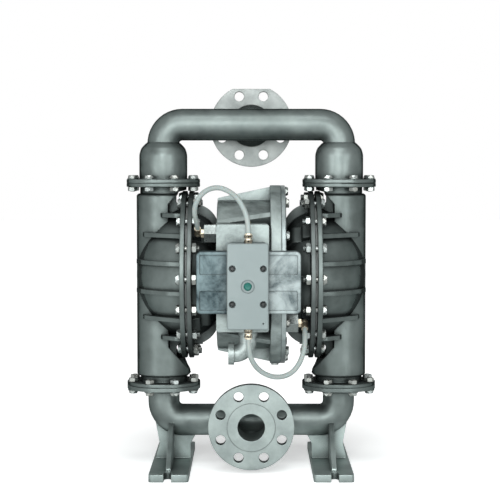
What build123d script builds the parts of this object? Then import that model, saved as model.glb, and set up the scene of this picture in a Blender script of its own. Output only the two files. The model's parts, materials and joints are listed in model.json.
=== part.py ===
from build123d import *

import os
from math import cos, pi, radians, sin, sqrt, tan

# Sizes are in millimetres. +X is the pump's right, +Y its back, +Z up; the feet stand on Z = 0.
# The shaft, the two columns and the manifold pipes share one upright plane, the pipe plane.

# Heights and spacing of the main axes
shaft_z = 378
column_x = 172.5
inlet_z = 90
outlet_z = 671.6
lower_joint_z = 161
upper_joint_z = 557.5

# Pipe flanges: 2-inch, class 300
flange_radius = 82.55
flange_thickness = 22.4
raised_face_radius = 46
raised_face_height = 2
flange_hub_radius = 42
pipe_bore_radius = 26.25
flange_bolt_circle_radius = 63.5
flange_bolt_count = 8
flange_hole_radius = 9.55
flange_reach = 100
outlet_flange_flat = 73.7

# Manifold pipes
pipe_radius = 31
pipe_wall = 6
bend_radius = 37.5
branch_start_radius = 27
inlet_collar_radius = 41.5
inlet_collar_height = 7
outlet_barrel_radius = 47
outlet_barrel_height = 45
outlet_barrel_bore = 38
flare_height = 28

# Joints between the manifolds and the liquid chambers
joint_radius = 72
joint_plate = 7.5
joint_bolt_circle_radius = 63.5
joint_bolt_count = 8
joint_hole_radius = 5.5
joint_boss_radius = 10.5
joint_boss_height = 1.5

# Feet of the inlet manifold
foot_x = 155
foot_width = 75
foot_half_length = 176
foot_thickness = 14
foot_corner = 7
slot_x = 157
slot_width = 14.7
slot_depth = 30
web_thickness = 12
web_waist_z = 43
rib_thickness = 9
rib_top_z = 88
rib_top_half = 30
rib_foot_half = 140

# Liquid chambers
column_radius = 52.5
column_wall = 7.5
column_bottom_z = 180
column_top_z = 537
column_shoulder = 6
neck_radius = 45.5
neck_bore = 34
dome_radius = 140
dome_wall = 7
ring_radius = 164
ring_plate = 9.5
ring_edge = 1.5
bead_gap = 4
ring_inner_x = 121
pocket_x = 161
pocket_radius = 148
pocket_lip_x = 143
pocket_lip_radius = 166
pocket_wall = 5
chin_x = 160
chin_radius = 41
chin_z = 184
chin_top_x = 175
chin_top_radius = 30
chin_top_z = 250
chin_cut_x = 120
chin_cut_radius = 189
fin_thickness = 8

# Clamp bolts round each diaphragm
clamp_bolt_circle_radius = 151
clamp_bolt_count = 16
clamp_hole_radius = 6.5

# Air chambers
air_plate = 9
air_space_depth = 28.5
air_shell_radius = 122
air_shell_wall = 7
air_rib_radius = 139
air_rim_radius = 104
air_rib_thickness = 10
air_lug_width = 38
air_lug_radius = 131
air_lug_step_x = 97
air_lug_step_radius = 115

# Centre section: the air cylinder and its cover
centre_half = 66
cylinder_bore = 139
cylinder_wall = 7
cylinder_floor = 16
centre_rim_width = 29
centre_disc_x = 36.4
cover_disc_x = 56.8
centre_rib_count = 8
centre_rib_thickness = 11
centre_rib_height = 4
centre_rib_inset = 3
centre_bolt_inset = 12
centre_bolt_count = 12
centre_hole_radius = 5.5
centre_hub_radius = 32

# Valve pad on the front of the centre section
pad_left_x = -65
pad_right_x = 33
pad_bottom_z = 282
pad_top_z = 482.5
pad_back = 100
pad_stand_off = 1.5
pad_corner = 5

# Air valve
valve_gasket_thickness = 1.5
valve_x = -4.8
valve_z = 377
valve_length = 192
valve_height = 114.2
valve_depth = 42
valve_corner = 9
valve_edge = 2.5
valve_band_height = 29.4
valve_band_drop = 2
valve_field_depth = 2.5
valve_field_margin = 6
core_width = 66
core_height = 156
cover_x = -6.3
cover_z = 371.7
cover_width = 76
cover_height = 157
cover_depth = 20
cover_corner = 4
cover_edge = 1.6
screw_dx = 28.2
screw_dz = 32.5
screw_head_radius = 6
screw_head_height = 6
screw_radius = 3.5
screw_hex_radius = 3.4
screw_sunk = 1.2
screw_thread_depth = 18
vent_radius = 1.5
vent_dx = 28
vent_dz = 67.4

# Spool of the air valve
spool_bore = 12
sleeve_wall = 4
end_plug_length = 14
spool_travel = 16
spool_land = 16
spool_waist_radius = 6
spool_land_count = 5
end_plug_hex = 5

# Manual override button
button_radius = 7.2
button_sunk = 2
button_recess_radius = 12.5
button_recess_depth = 3
spring_radius = 4.5
spring_wire = 0.5
spring_turns = 4
button_shoulder_radius = 9
button_shoulder_depth = 7
button_shoulder_height = 2.5

# Pilot valves and signal hoses
pilot_y = -112
pilot_rise = 85
pilot_flats = 33
pilot_length = 23
pilot_spool_radius = 5
pilot_spool_length = 12
pilot_travel = 3
fitting_flats = 15
fitting_hex = 7
fitting_waist = 2
fitting_waist_radius = 5.5
fitting_sleeve = 2
fitting_sleeve_radius = 6.3
fitting_thread_radius = 4.9
fitting_thread_length = 7
fitting_x = -5.2
fitting_nut = 6
elbow_arm = 18
elbow_radius = 6.5
elbow_block = 6.2
elbow_tilt = 55
hose_radius = 4.75
hose_way_radius = 2.5
pilot_chamber_x = 70
pilot_thread_radius = 9
pilot_boss_radius = 21
pilot_boss_length = 26

# Air inlet elbow
air_elbow_x = -6.6
air_elbow_y = -140
air_elbow_z = 239
air_elbow_radius = 16.5
air_collar_radius = 18
air_collar_height = 10
air_elbow_bend = 24
air_mouth_radius = 21
air_mouth_length = 11
air_mouth_x = -43
air_thread_radius = 13.3
air_thread_depth = 18
air_nose_radius = 12
air_nose_length = 12
air_supply_radius = 8
supply_port_z = 336

# Exhaust port on the back of the centre section
exhaust_x = -14
exhaust_boss_radius = 26
exhaust_boss_height = 12
exhaust_thread_radius = 16.7
exhaust_thread_depth = 14

# Shaft, pistons and diaphragms
shaft_radius = 14
shaft_end_x = 133
air_piston_thickness = 30
air_piston_ring_width = 6
air_piston_ring_depth = 4
inner_plate_radius = 84
inner_plate_thickness = 11
outer_plate_radius = 78
outer_plate_thickness = 15
plate_hub_radius = 30
diaphragm_radius = 144
bush_wall = 4
shaft_seal_length = 7
seal_wall = 3
air_way_radius = 5
air_way_circle_radius = 74
air_way_inset = 17
air_way_angle = 75
pad_port_left_x = -43
pad_port_right_x = 20
port_depth = 18
cover_groove_depth = 5
cover_hub_length = 6.8
piston_rim_radius = 120
piston_hub_radius = 32
piston_recess = 8

# Check valves
ball_radius = 26
ball_lift = 12
seat_radius = 39
seat_bore = 18.5
seat_height = 12
seat_chamfer = 4
seat_ring_radius = 42.75
seat_ring_section = 1.75
cage_rib_count = 4
cage_rib_thickness = 7
cage_stop_radius = 10
cage_stop_height = 8

# Fasteners: thread radius, width across flats, head and nut height
m10 = (5, 16, 6.4, 8)
m12 = (6, 18, 7.5, 9)
stud_end = 6
joint_stud_end = 1
plug_flats = 13
plug_height = 4
plug_x = 46.6
plug_thread_radius = 4
plug_thread_depth = 4.5
inner_screw_radius = 4
inner_head_radius = 6.5
inner_head_height = 8
inner_hex_radius = 3.2
inner_screw_circle_radius = 50
inner_screw_count = 4
inner_thread_depth = 8

# Fits
running_fit = 0.05
loose_fit = 0.3
thread_fit = 0.1
seat_fit = 0.2

# Derived sizes
cylinder_radius = cylinder_bore + cylinder_wall
centre_disc_radius = cylinder_radius + centre_rim_width
centre_bolt_circle_radius = centre_disc_radius - centre_bolt_inset
centre_rib_end_radius = cylinder_radius + centre_rib_height
centre_rib_disc_radius = centre_disc_radius - centre_rib_inset
air_way_reach = centre_disc_radius - air_way_inset
exhaust_reach = cylinder_radius + exhaust_boss_height
pad_reach = centre_disc_radius + pad_stand_off
valve_back = pad_reach + valve_gasket_thickness
valve_front = valve_back + valve_depth
cover_front = valve_front + cover_depth
spool_y = valve_back + valve_depth / 2
fitting_y = valve_front + cover_depth / 2
# The pipe plane stands behind the middle of the part, whose front is the valve cover.
mid_y = (cover_front - foot_half_length) / 2
pipe_end_y = flange_reach - flange_thickness
ring_outer_x = ring_inner_x + bead_gap
ring_back_x = ring_outer_x + ring_plate
air_back_x = ring_inner_x - air_plate
dome_x = column_x + column_radius - dome_radius
column_bore = column_radius - column_wall
bed_height = seat_height / 2
ball_rise = sqrt(ball_radius**2 - seat_bore**2) + thread_fit
piston_mid_x = (cover_disc_x - centre_half + cylinder_floor) / 2
barrel_top_z = upper_joint_z + joint_plate + outlet_barrel_height
cage_shoulder_rise = ball_radius + ball_lift + 6
inlet_rest_z = lower_joint_z + bed_height - seat_chamfer + ball_rise
outlet_rest_z = upper_joint_z + bed_height - seat_chamfer + ball_rise


def facing_up(x, y, z):
    return Plane(origin=(x, mid_y + y, z))


def facing_front(x, y, z):
    return Plane(origin=(x, mid_y + y, z), x_dir=(1, 0, 0), z_dir=(0, -1, 0))


def facing_side(x, y, z):
    return Plane(origin=(x, mid_y + y, z), x_dir=(0, 1, 0), z_dir=(1, 0, 0))


def outline(plane, points, radius=0):
    with BuildSketch(plane) as shape:
        with BuildLine():
            FilletPolyline(*points, radius=radius, close=True)
        make_face()
    return shape.sketch


def hexagon(plane, flats):
    with BuildSketch(plane) as shape:
        RegularPolygon(flats / 2, 6, major_radius=False)
    return shape.sketch


# Sections through the pipe plane: across the shaft, and down through a column
shaft_section = facing_front(0, 0, shaft_z)
shaft_axis = Axis((0, mid_y, shaft_z), (1, 0, 0))
column_section = facing_front(column_x, 0, 0)
column_axis = Axis((column_x, mid_y, 0), (0, 0, 1))


# Four ribs round a ball that rests at the given height; their arms stop its lift
def ball_ribs(rest_z, wall):
    guide = ball_radius + 1.2
    stop_z = rest_z + ball_lift + sqrt(ball_radius**2 - cage_stop_radius**2) + thread_fit
    inner = [
        (guide, rest_z - 8),
        (guide, stop_z),
        (cage_stop_radius, stop_z),
        (cage_stop_radius, stop_z + cage_stop_height),
    ]
    face = outline(column_section, inner + wall)
    with BuildPart() as ribs:
        for quarter in range(cage_rib_count):
            turned = face.rotate(column_axis, 45 + quarter * 360 / cage_rib_count)
            extrude(turned, amount=cage_rib_thickness / 2, both=True)
    return ribs.part


def write(piece, name):
    piece.label = name
    export_step(piece, "parts/" + name + ".step")


# A piece made for the right side is mirrored for the left.
def write_pair(piece, name):
    write(piece, "right_" + name)
    write(mirror(piece, about=Plane.YZ), "left_" + name)


os.makedirs("parts", exist_ok=True)

# One pipe flange lies in its own frame: its face on Z = 0, its body below
with BuildPart() as pipe_flange:
    with BuildSketch(Plane.XY.offset(-flange_thickness)):
        Circle(flange_radius)
    extrude(amount=flange_thickness - raised_face_height)
    with BuildSketch(Plane.XY.offset(-raised_face_height)):
        Circle(raised_face_radius)
    extrude(amount=raised_face_height)
    half_pitch = 180 / flange_bolt_count
    with Locations((0, 0, -raised_face_height)):
        with PolarLocations(flange_bolt_circle_radius, flange_bolt_count, start_angle=half_pitch):
            Hole(flange_hole_radius, depth=flange_thickness)

# The water way of each manifold follows one line: up a leg, over the bend and along the pipe
inlet_way = [
    (-column_x, mid_y, lower_joint_z - bed_height),
    (-column_x, mid_y, inlet_z),
    (column_x, mid_y, inlet_z),
    (column_x, mid_y, lower_joint_z - bed_height),
]
outlet_way = [
    (-column_x, mid_y, barrel_top_z),
    (-column_x, mid_y, outlet_z),
    (column_x, mid_y, outlet_z),
    (column_x, mid_y, barrel_top_z),
]

# Outline of the web that carries a leg on its foot, in the pipe plane
web_outline = [
    (foot_x - foot_width / 2 + 2, foot_thickness / 2),
    (foot_x - foot_width / 2 + 2, web_waist_z),
    (foot_x - foot_width / 2 - 8, inlet_z - pipe_radius + 3),
    (foot_x - foot_width / 2 - 8, inlet_z),
    (column_x, inlet_z + 10),
    (column_x + 18, inlet_z + 6),
    (column_x + 8.5, web_waist_z),
    (foot_x + foot_width / 2 - 2.5, foot_thickness / 2),
]

with BuildPart() as inlet_manifold:
    with BuildLine():
        FilletPolyline(*inlet_way, radius=bend_radius)
    with BuildSketch(facing_up(-column_x, 0, lower_joint_z - bed_height)):
        Circle(pipe_radius)
    sweep()
    # Joint flanges, with the collar that meets the leg
    for side in (-1, 1):
        with BuildSketch(facing_up(side * column_x, 0, lower_joint_z)):
            Circle(joint_radius)
        extrude(amount=-joint_plate)
        with BuildSketch(facing_up(side * column_x, 0, lower_joint_z - joint_plate)):
            Circle(inlet_collar_radius)
        extrude(amount=-inlet_collar_height, taper=50)
        with BuildSketch(facing_up(side * column_x, 0, lower_joint_z - joint_plate)):
            with PolarLocations(joint_bolt_circle_radius, joint_bolt_count, start_angle=22.5):
                Circle(joint_boss_radius)
        extrude(amount=-joint_boss_height)
    # Branch to the inlet flange, a cone into its hub
    with BuildSketch(facing_front(0, 0, inlet_z)):
        Circle(branch_start_radius)
    with BuildSketch(facing_front(0, -pipe_end_y, inlet_z)):
        Circle(flange_hub_radius)
    loft()
    add(facing_front(0, -flange_reach, inlet_z).location * pipe_flange.part)
    # Feet: base plate, the web under the leg and the long rib on the plate
    for side in (-1, 1):
        with BuildSketch(facing_up(side * foot_x, 0, 0)):
            RectangleRounded(foot_width, 2 * foot_half_length, foot_corner)
        extrude(amount=foot_thickness)
        web = outline(facing_front(0, 0, 0), [(side * x, z) for x, z in web_outline])
        extrude(web, amount=web_thickness / 2, both=True)
        rib = outline(
            facing_side(side * slot_x, 0, 0),
            [
                (-rib_foot_half, foot_thickness - 2),
                (rib_foot_half, foot_thickness - 2),
                (rib_foot_half, foot_thickness + 4),
                (rib_top_half, rib_top_z),
                (-rib_top_half, rib_top_z),
                (-rib_foot_half, foot_thickness + 4),
            ],
            3,
        )
        extrude(rib, amount=rib_thickness / 2, both=True)
        with BuildSketch(facing_up(side * slot_x, 0, 0)):
            for end in (-1, 1):
                with Locations((0, end * foot_half_length)):
                    SlotCenterToCenter(2 * (slot_depth - slot_width / 2), slot_width, rotation=90)
        extrude(amount=foot_thickness, mode=Mode.SUBTRACT)
    # Water way, seat beds, seal grooves and holes
    with BuildLine():
        FilletPolyline(*inlet_way, radius=bend_radius)
    with BuildSketch(facing_up(-column_x, 0, lower_joint_z - bed_height)):
        Circle(pipe_radius - pipe_wall)
    sweep(mode=Mode.SUBTRACT)
    with BuildSketch(facing_front(0, 0, inlet_z)):
        Circle(pipe_bore_radius)
    extrude(amount=flange_reach, mode=Mode.SUBTRACT)
    for side in (-1, 1):
        with BuildSketch(facing_up(side * column_x, 0, lower_joint_z)):
            Circle(seat_radius + seat_fit)
        extrude(amount=-bed_height, mode=Mode.SUBTRACT)
        with BuildSketch(facing_up(side * column_x, 0, lower_joint_z)):
            Circle(seat_ring_radius + seat_ring_section)
            Circle(seat_ring_radius - seat_ring_section, mode=Mode.SUBTRACT)
        extrude(amount=-2 * seat_ring_section, mode=Mode.SUBTRACT)
        with BuildSketch(facing_up(side * column_x, 0, lower_joint_z)):
            with PolarLocations(joint_bolt_circle_radius, joint_bolt_count, start_angle=22.5):
                Circle(joint_hole_radius)
        extrude(amount=-joint_plate - joint_boss_height, mode=Mode.SUBTRACT)
write(inlet_manifold.part, "inlet_manifold")

outlet_ribs = ball_ribs(
    outlet_rest_z,
    [
        (outlet_barrel_bore - 4, outlet_rest_z + cage_shoulder_rise),
        (outlet_barrel_bore + 2, barrel_top_z - 4),
        (outlet_barrel_bore + 2, upper_joint_z + bed_height + 6.5),
    ],
)
with BuildPart() as discharge_manifold:
    with BuildLine():
        FilletPolyline(*outlet_way, radius=bend_radius)
    with BuildSketch(facing_up(-column_x, 0, outlet_way[0][2])):
        Circle(pipe_radius)
    sweep()
    for side in (-1, 1):
        leg_axis = Axis((side * column_x, mid_y, 0), (0, 0, 1))
        barrel = outline(
            facing_front(side * column_x, 0, 0),
            [
                (0, upper_joint_z),
                (joint_radius, upper_joint_z),
                (joint_radius, upper_joint_z + joint_plate),
                (outlet_barrel_radius, upper_joint_z + joint_plate),
                (outlet_barrel_radius, barrel_top_z + 3),
                (outlet_barrel_radius - 3.5, barrel_top_z + 15),
                (pipe_radius + 4.5, barrel_top_z + 23.5),
                (pipe_radius - 1, barrel_top_z + flare_height),
                (0, barrel_top_z + flare_height),
            ],
            [0, 1.5, 1.5, 3, 28, 18, 4, 0, 0],
        )
        revolve(barrel, axis=leg_axis)
        with BuildSketch(facing_up(side * column_x, 0, upper_joint_z + joint_plate)):
            with PolarLocations(joint_bolt_circle_radius, joint_bolt_count, start_angle=22.5):
                Circle(joint_boss_radius)
        extrude(amount=joint_boss_height)
    # Branch to the discharge flange at the back
    with BuildSketch(facing_front(0, 0, outlet_z)):
        Circle(branch_start_radius)
    with BuildSketch(facing_front(0, pipe_end_y, outlet_z)):
        Circle(flange_hub_radius)
    loft()
    back_plane = Plane(origin=(0, mid_y + flange_reach, outlet_z), x_dir=(-1, 0, 0), z_dir=(0, 1, 0))
    add(back_plane.location * pipe_flange.part)
    # The top of the flange is cut flat
    with BuildSketch(facing_up(0, pipe_end_y, outlet_z + outlet_flange_flat)):
        Rectangle(2 * flange_radius, 4 * flange_thickness)
    extrude(amount=flange_radius, mode=Mode.SUBTRACT)
    # Water way with the ball chambers, seat beds, seal grooves and holes
    with BuildLine():
        FilletPolyline(*outlet_way, radius=bend_radius)
    with BuildSketch(facing_up(-column_x, 0, outlet_way[0][2])):
        Circle(pipe_radius - pipe_wall)
    sweep(mode=Mode.SUBTRACT)
    with BuildSketch(facing_front(0, 0, outlet_z)):
        Circle(pipe_bore_radius)
    extrude(amount=-flange_reach, mode=Mode.SUBTRACT)
    for side in (-1, 1):
        leg_axis = Axis((side * column_x, mid_y, 0), (0, 0, 1))
        ball_chamber = outline(
            facing_front(side * column_x, 0, 0),
            [
                (0, upper_joint_z),
                (seat_radius + seat_fit, upper_joint_z),
                (seat_radius + seat_fit, upper_joint_z + bed_height),
                (outlet_barrel_bore, upper_joint_z + bed_height),
                (outlet_barrel_bore, barrel_top_z - 5),
                (pipe_radius - pipe_wall - 1, barrel_top_z + flare_height - 10),
                (0, barrel_top_z + flare_height - 10),
            ],
        )
        revolve(ball_chamber, axis=leg_axis, mode=Mode.SUBTRACT)
        add(outlet_ribs if side == 1 else mirror(outlet_ribs, about=Plane.YZ))
        with BuildSketch(facing_up(side * column_x, 0, upper_joint_z)):
            Circle(seat_ring_radius + seat_ring_section)
            Circle(seat_ring_radius - seat_ring_section, mode=Mode.SUBTRACT)
        extrude(amount=2 * seat_ring_section, mode=Mode.SUBTRACT)
        with BuildSketch(facing_up(side * column_x, 0, upper_joint_z)):
            with PolarLocations(joint_bolt_circle_radius, joint_bolt_count, start_angle=22.5):
                Circle(joint_hole_radius)
        extrude(amount=joint_plate + joint_boss_height, mode=Mode.SUBTRACT)
write(discharge_manifold.part, "discharge_manifold")

# The recess that clears the clamp bolts, in the section across the shaft
pocket_outline = [
    (0, 0),
    (pocket_x, 0),
    (pocket_x, pocket_radius),
    (pocket_lip_x, pocket_lip_radius),
    (0, pocket_lip_radius),
]
pocket_wall_outline = [
    (0, 0),
    (pocket_x + pocket_wall, 0),
    (pocket_x + pocket_wall, pocket_radius + pocket_wall / 2),
    (pocket_lip_x + pocket_wall, pocket_lip_radius + pocket_wall),
    (0, pocket_lip_radius + pocket_wall),
]

# Below the shaft the recess runs on down the column, and the chin stands out of it
chin_cut_outline = [
    (0, pocket_lip_radius - 0.5),
    (pocket_lip_x + 0.2, pocket_lip_radius - 0.5),
    (chin_cut_x, chin_cut_radius),
    (0, chin_cut_radius),
]
chin_wall_outline = [
    (0, pocket_lip_radius + pocket_wall / 2),
    (pocket_lip_x + 0.7 * pocket_wall, pocket_lip_radius + pocket_wall / 2),
    (chin_cut_x + pocket_wall / 2, chin_cut_radius + pocket_wall),
    (0, chin_cut_radius + pocket_wall),
]

# Web between ring and column behind the highest and the lowest clamp bolt
web_edge = clamp_bolt_circle_radius - m12[1] / sqrt(3) - 1
web_step_x = ring_back_x + m12[2] + 5
column_web = [
    (ring_back_x - 1, dome_radius - 40),
    (ring_back_x - 1, web_edge),
    (web_step_x - 2, web_edge),
    (web_step_x, web_edge + 3),
    (web_step_x, pocket_lip_radius - 2),
    (pocket_x + 4, pocket_radius - 2),
    (pocket_x + 4, dome_radius - 40),
]

# Outlines of the fins from above, with their corner radii, and their heights over the shaft
wide_fin = [
    (ring_back_x, 140),
    (160, 129),
    (190, 102),
    (212, 72),
    (223, 40),
    (223, 0),
    (ring_back_x, 0),
]
middle_fin = [(ring_back_x, 126), (176, 88), (207, 54), (211, 38), (200, 0), (ring_back_x, 0)]
narrow_fin = [
    (ring_back_x, 93),
    (146, 92),
    (171, 66),
    (175, 55),
    (168, 0),
    (ring_back_x, 0),
]
fins = (
    (28, wide_fin, [0, 30, 60, 40, 20, 0, 0]),
    (80, middle_fin, [0, 40, 8, 8, 0, 0]),
    (118, narrow_fin, [0, 8, 5, 5, 0, 0]),
)

inlet_ribs = ball_ribs(
    inlet_rest_z,
    [
        (column_bore + 1.5, inlet_rest_z + cage_shoulder_rise),
        (column_bore + 1.5, column_bottom_z + 4),
        (neck_bore + 2, column_bottom_z - 5),
    ],
)

# The liquid space: the column's bore outside the recess, its necks, and the hollow of the dome
with BuildPart() as liquid_space:
    with BuildSketch(facing_up(column_x, 0, column_bottom_z + 2)):
        Circle(column_bore)
    extrude(amount=column_top_z - column_bottom_z - 4)
    revolve(outline(shaft_section, pocket_wall_outline), axis=shaft_axis, mode=Mode.SUBTRACT)
    chin_wall = outline(facing_up(0, 0, shaft_z), [(x, -y) for x, y in chin_wall_outline])
    revolve(chin_wall, axis=shaft_axis, revolution_arc=180, mode=Mode.SUBTRACT)
    with BuildSketch(shaft_section):
        with BuildLine():
            dome_inside = dome_radius - dome_wall
            edge_radius = sqrt(dome_inside**2 - (ring_outer_x - dome_x) ** 2)
            Line((ring_outer_x, 0), (ring_outer_x, edge_radius))
            RadiusArc((ring_outer_x, edge_radius), (dome_x + dome_inside, 0), dome_inside)
            Line((dome_x + dome_inside, 0), (ring_outer_x, 0))
        make_face()
    revolve(axis=shaft_axis)
    for joint_z, bore_z, inward in (
        (lower_joint_z, column_bottom_z, 1),
        (upper_joint_z, column_top_z, -1),
    ):
        with BuildSketch(facing_up(column_x, 0, joint_z)):
            Circle(seat_radius + seat_fit)
        extrude(amount=inward * bed_height)
        with BuildSketch(facing_up(column_x, 0, joint_z)):
            Circle(neck_bore)
        extrude(amount=bore_z - joint_z + inward * 3)
    add(inlet_ribs, mode=Mode.SUBTRACT)

with BuildPart() as liquid_chamber:
    # Column with its shoulders, necks and joint flanges
    column = outline(
        column_section,
        [
            (0, lower_joint_z),
            (joint_radius, lower_joint_z),
            (joint_radius, lower_joint_z + joint_plate),
            (neck_radius, lower_joint_z + joint_plate),
            (neck_radius, column_bottom_z),
            (column_radius, column_bottom_z),
            (column_radius, column_top_z),
            (neck_radius, column_top_z),
            (neck_radius, upper_joint_z - joint_plate),
            (joint_radius, upper_joint_z - joint_plate),
            (joint_radius, upper_joint_z),
            (0, upper_joint_z),
        ],
        [0, 1.5, 1.5, 2, 0, 4, column_shoulder, 0, 2, 1.5, 1.5, 0],
    )
    revolve(column, axis=column_axis)
    chin_cut = outline(facing_up(0, 0, shaft_z), [(x, -y) for x, y in chin_cut_outline])
    revolve(chin_cut, axis=shaft_axis, revolution_arc=180, mode=Mode.SUBTRACT)
    # Chin over the inlet ball, leaning inwards
    with BuildSketch(facing_up(chin_x + 2, 0, chin_z - 7)):
        Circle(chin_radius - 5)
    with BuildSketch(facing_up(chin_x, 0, chin_z)):
        Circle(chin_radius)
    with BuildSketch(facing_up(chin_top_x, 0, chin_top_z)):
        Circle(chin_top_radius)
    loft(ruled=True)
    revolve(outline(shaft_section, pocket_outline), axis=shaft_axis, mode=Mode.SUBTRACT)
    # Dome, clamp ring and fins
    with BuildSketch(shaft_section):
        with BuildLine():
            dome_edge = sqrt(dome_radius**2 - (ring_outer_x - dome_x) ** 2)
            Line((ring_outer_x, 0), (ring_outer_x, dome_edge))
            RadiusArc((ring_outer_x, dome_edge), (dome_x + dome_radius, 0), dome_radius)
            Line((dome_x + dome_radius, 0), (ring_outer_x, 0))
        make_face()
    revolve(axis=shaft_axis)
    ring = outline(
        shaft_section,
        [
            (ring_outer_x, 0),
            (ring_outer_x, ring_radius),
            (ring_back_x, ring_radius),
            (ring_back_x, 0),
        ],
        [0, ring_edge, ring_edge, 0],
    )
    revolve(ring, axis=shaft_axis)
    for rise, points, corners in fins:
        for side in (-1, 1):
            for up in (-1, 1):
                fin_plane = Plane(origin=(0, mid_y, shaft_z + up * rise))
                fin = outline(fin_plane, [(x, side * y) for x, y in points], corners)
                extrude(fin, amount=fin_thickness / 2, both=True)
    for up in (-1, 1):
        web = outline(shaft_section, [(x, up * z) for x, z in column_web])
        extrude(web, amount=fin_thickness / 2, both=True)
    add(liquid_space.part, mode=Mode.SUBTRACT)
    for joint_z, inward in ((lower_joint_z, 1), (upper_joint_z, -1)):
        with BuildSketch(facing_up(column_x, 0, joint_z)):
            with PolarLocations(joint_bolt_circle_radius, joint_bolt_count, start_angle=22.5):
                Circle(joint_hole_radius)
        extrude(amount=inward * joint_plate, mode=Mode.SUBTRACT)
    with BuildSketch(facing_side(ring_outer_x, 0, shaft_z)):
        with PolarLocations(clamp_bolt_circle_radius, clamp_bolt_count):
            Circle(clamp_hole_radius)
    extrude(amount=ring_plate, mode=Mode.SUBTRACT)
write_pair(liquid_chamber.part, "liquid_chamber")

# Air chamber: clamp ring, shell, thin ribs and the wide lugs between them
air_inside_x = air_back_x - air_space_depth
with BuildSketch(shaft_section) as rib_face:
    with BuildLine():
        rib_bend = (centre_half + 19, air_rib_radius - 10)
        rib_foot_radius = air_rim_radius - 44
        Line((centre_half, rib_foot_radius), (centre_half, air_rim_radius))
        ThreePointArc((centre_half, air_rim_radius), rib_bend, (air_back_x + 1, air_rib_radius))
        Line((air_back_x + 1, air_rib_radius), (air_back_x + 1, rib_foot_radius))
        Line((air_back_x + 1, rib_foot_radius), (centre_half, rib_foot_radius))
    make_face()
lug_face = outline(
    shaft_section,
    [
        (centre_half, rib_foot_radius),
        (centre_half, air_rim_radius - 4),
        (centre_half + 14, air_lug_step_radius),
        (air_lug_step_x, air_lug_step_radius),
        (air_lug_step_x, air_lug_radius - 4),
        (air_back_x + 1, air_lug_radius),
        (air_back_x + 1, rib_foot_radius),
    ],
    [0, 3, 12, 3, 3, 0, 0],
)
with BuildPart() as air_chamber:
    ring = outline(
        shaft_section,
        [(air_back_x, 0), (air_back_x, ring_radius), (ring_inner_x, ring_radius), (ring_inner_x, 0)],
        [0, ring_edge, ring_edge, 0],
    )
    revolve(ring, axis=shaft_axis)
    with BuildSketch(shaft_section):
        with BuildLine():
            shell_start = (centre_half, air_shell_radius - 40)
            shell_bend = (centre_half + 18, air_shell_radius - 14)
            Line((centre_half, 0), shell_start)
            ThreePointArc(shell_start, shell_bend, (air_back_x, air_shell_radius))
            Line((air_back_x, air_shell_radius), (air_back_x, 0))
            Line((air_back_x, 0), (centre_half, 0))
        make_face()
    revolve(axis=shaft_axis)
    for quarter in range(4):
        rib = rib_face.sketch.rotate(shaft_axis, quarter * 90)
        extrude(rib, amount=air_rib_thickness / 2, both=True)
        lug = lug_face.rotate(shaft_axis, quarter * 90 + 45)
        extrude(lug, amount=air_lug_width / 2, both=True)
    # Air space behind the diaphragm
    with BuildSketch(shaft_section):
        with BuildLine():
            space_start = (air_inside_x, air_shell_radius - 30)
            space_bend = (air_inside_x + 12.5, air_shell_radius - 15)
            space_edge = (air_back_x, air_shell_radius - air_shell_wall)
            space_mouth = (ring_inner_x, air_shell_radius + 4)
            Line((air_inside_x, 0), space_start)
            ThreePointArc(space_start, space_bend, space_edge)
            Line(space_edge, space_mouth)
            Line(space_mouth, (ring_inner_x, 0))
            Line((ring_inner_x, 0), (air_inside_x, 0))
        make_face()
    revolve(axis=shaft_axis, mode=Mode.SUBTRACT)
    with BuildSketch(facing_side(centre_half, 0, shaft_z)):
        Circle(shaft_radius + seal_wall)
    extrude(amount=shaft_seal_length, mode=Mode.SUBTRACT)
    with BuildSketch(facing_side(centre_half, 0, shaft_z)):
        Circle(shaft_radius + loose_fit)
        with PolarLocations(air_way_circle_radius, 1, start_angle=90):
            Circle(air_way_radius)
        with PolarLocations(inner_screw_circle_radius, inner_screw_count, start_angle=45):
            Circle(inner_screw_radius + loose_fit)
    extrude(amount=air_inside_x - centre_half, mode=Mode.SUBTRACT)
    with BuildSketch(facing_side(air_inside_x, 0, shaft_z)):
        with PolarLocations(inner_screw_circle_radius, inner_screw_count, start_angle=45):
            Circle(inner_head_radius + loose_fit)
    extrude(amount=-inner_head_height - loose_fit, mode=Mode.SUBTRACT)
    with BuildSketch(facing_side(air_back_x, 0, shaft_z)):
        with PolarLocations(clamp_bolt_circle_radius, clamp_bolt_count):
            Circle(clamp_hole_radius)
    extrude(amount=air_plate, mode=Mode.SUBTRACT)
write_pair(air_chamber.part, "air_chamber")

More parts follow.
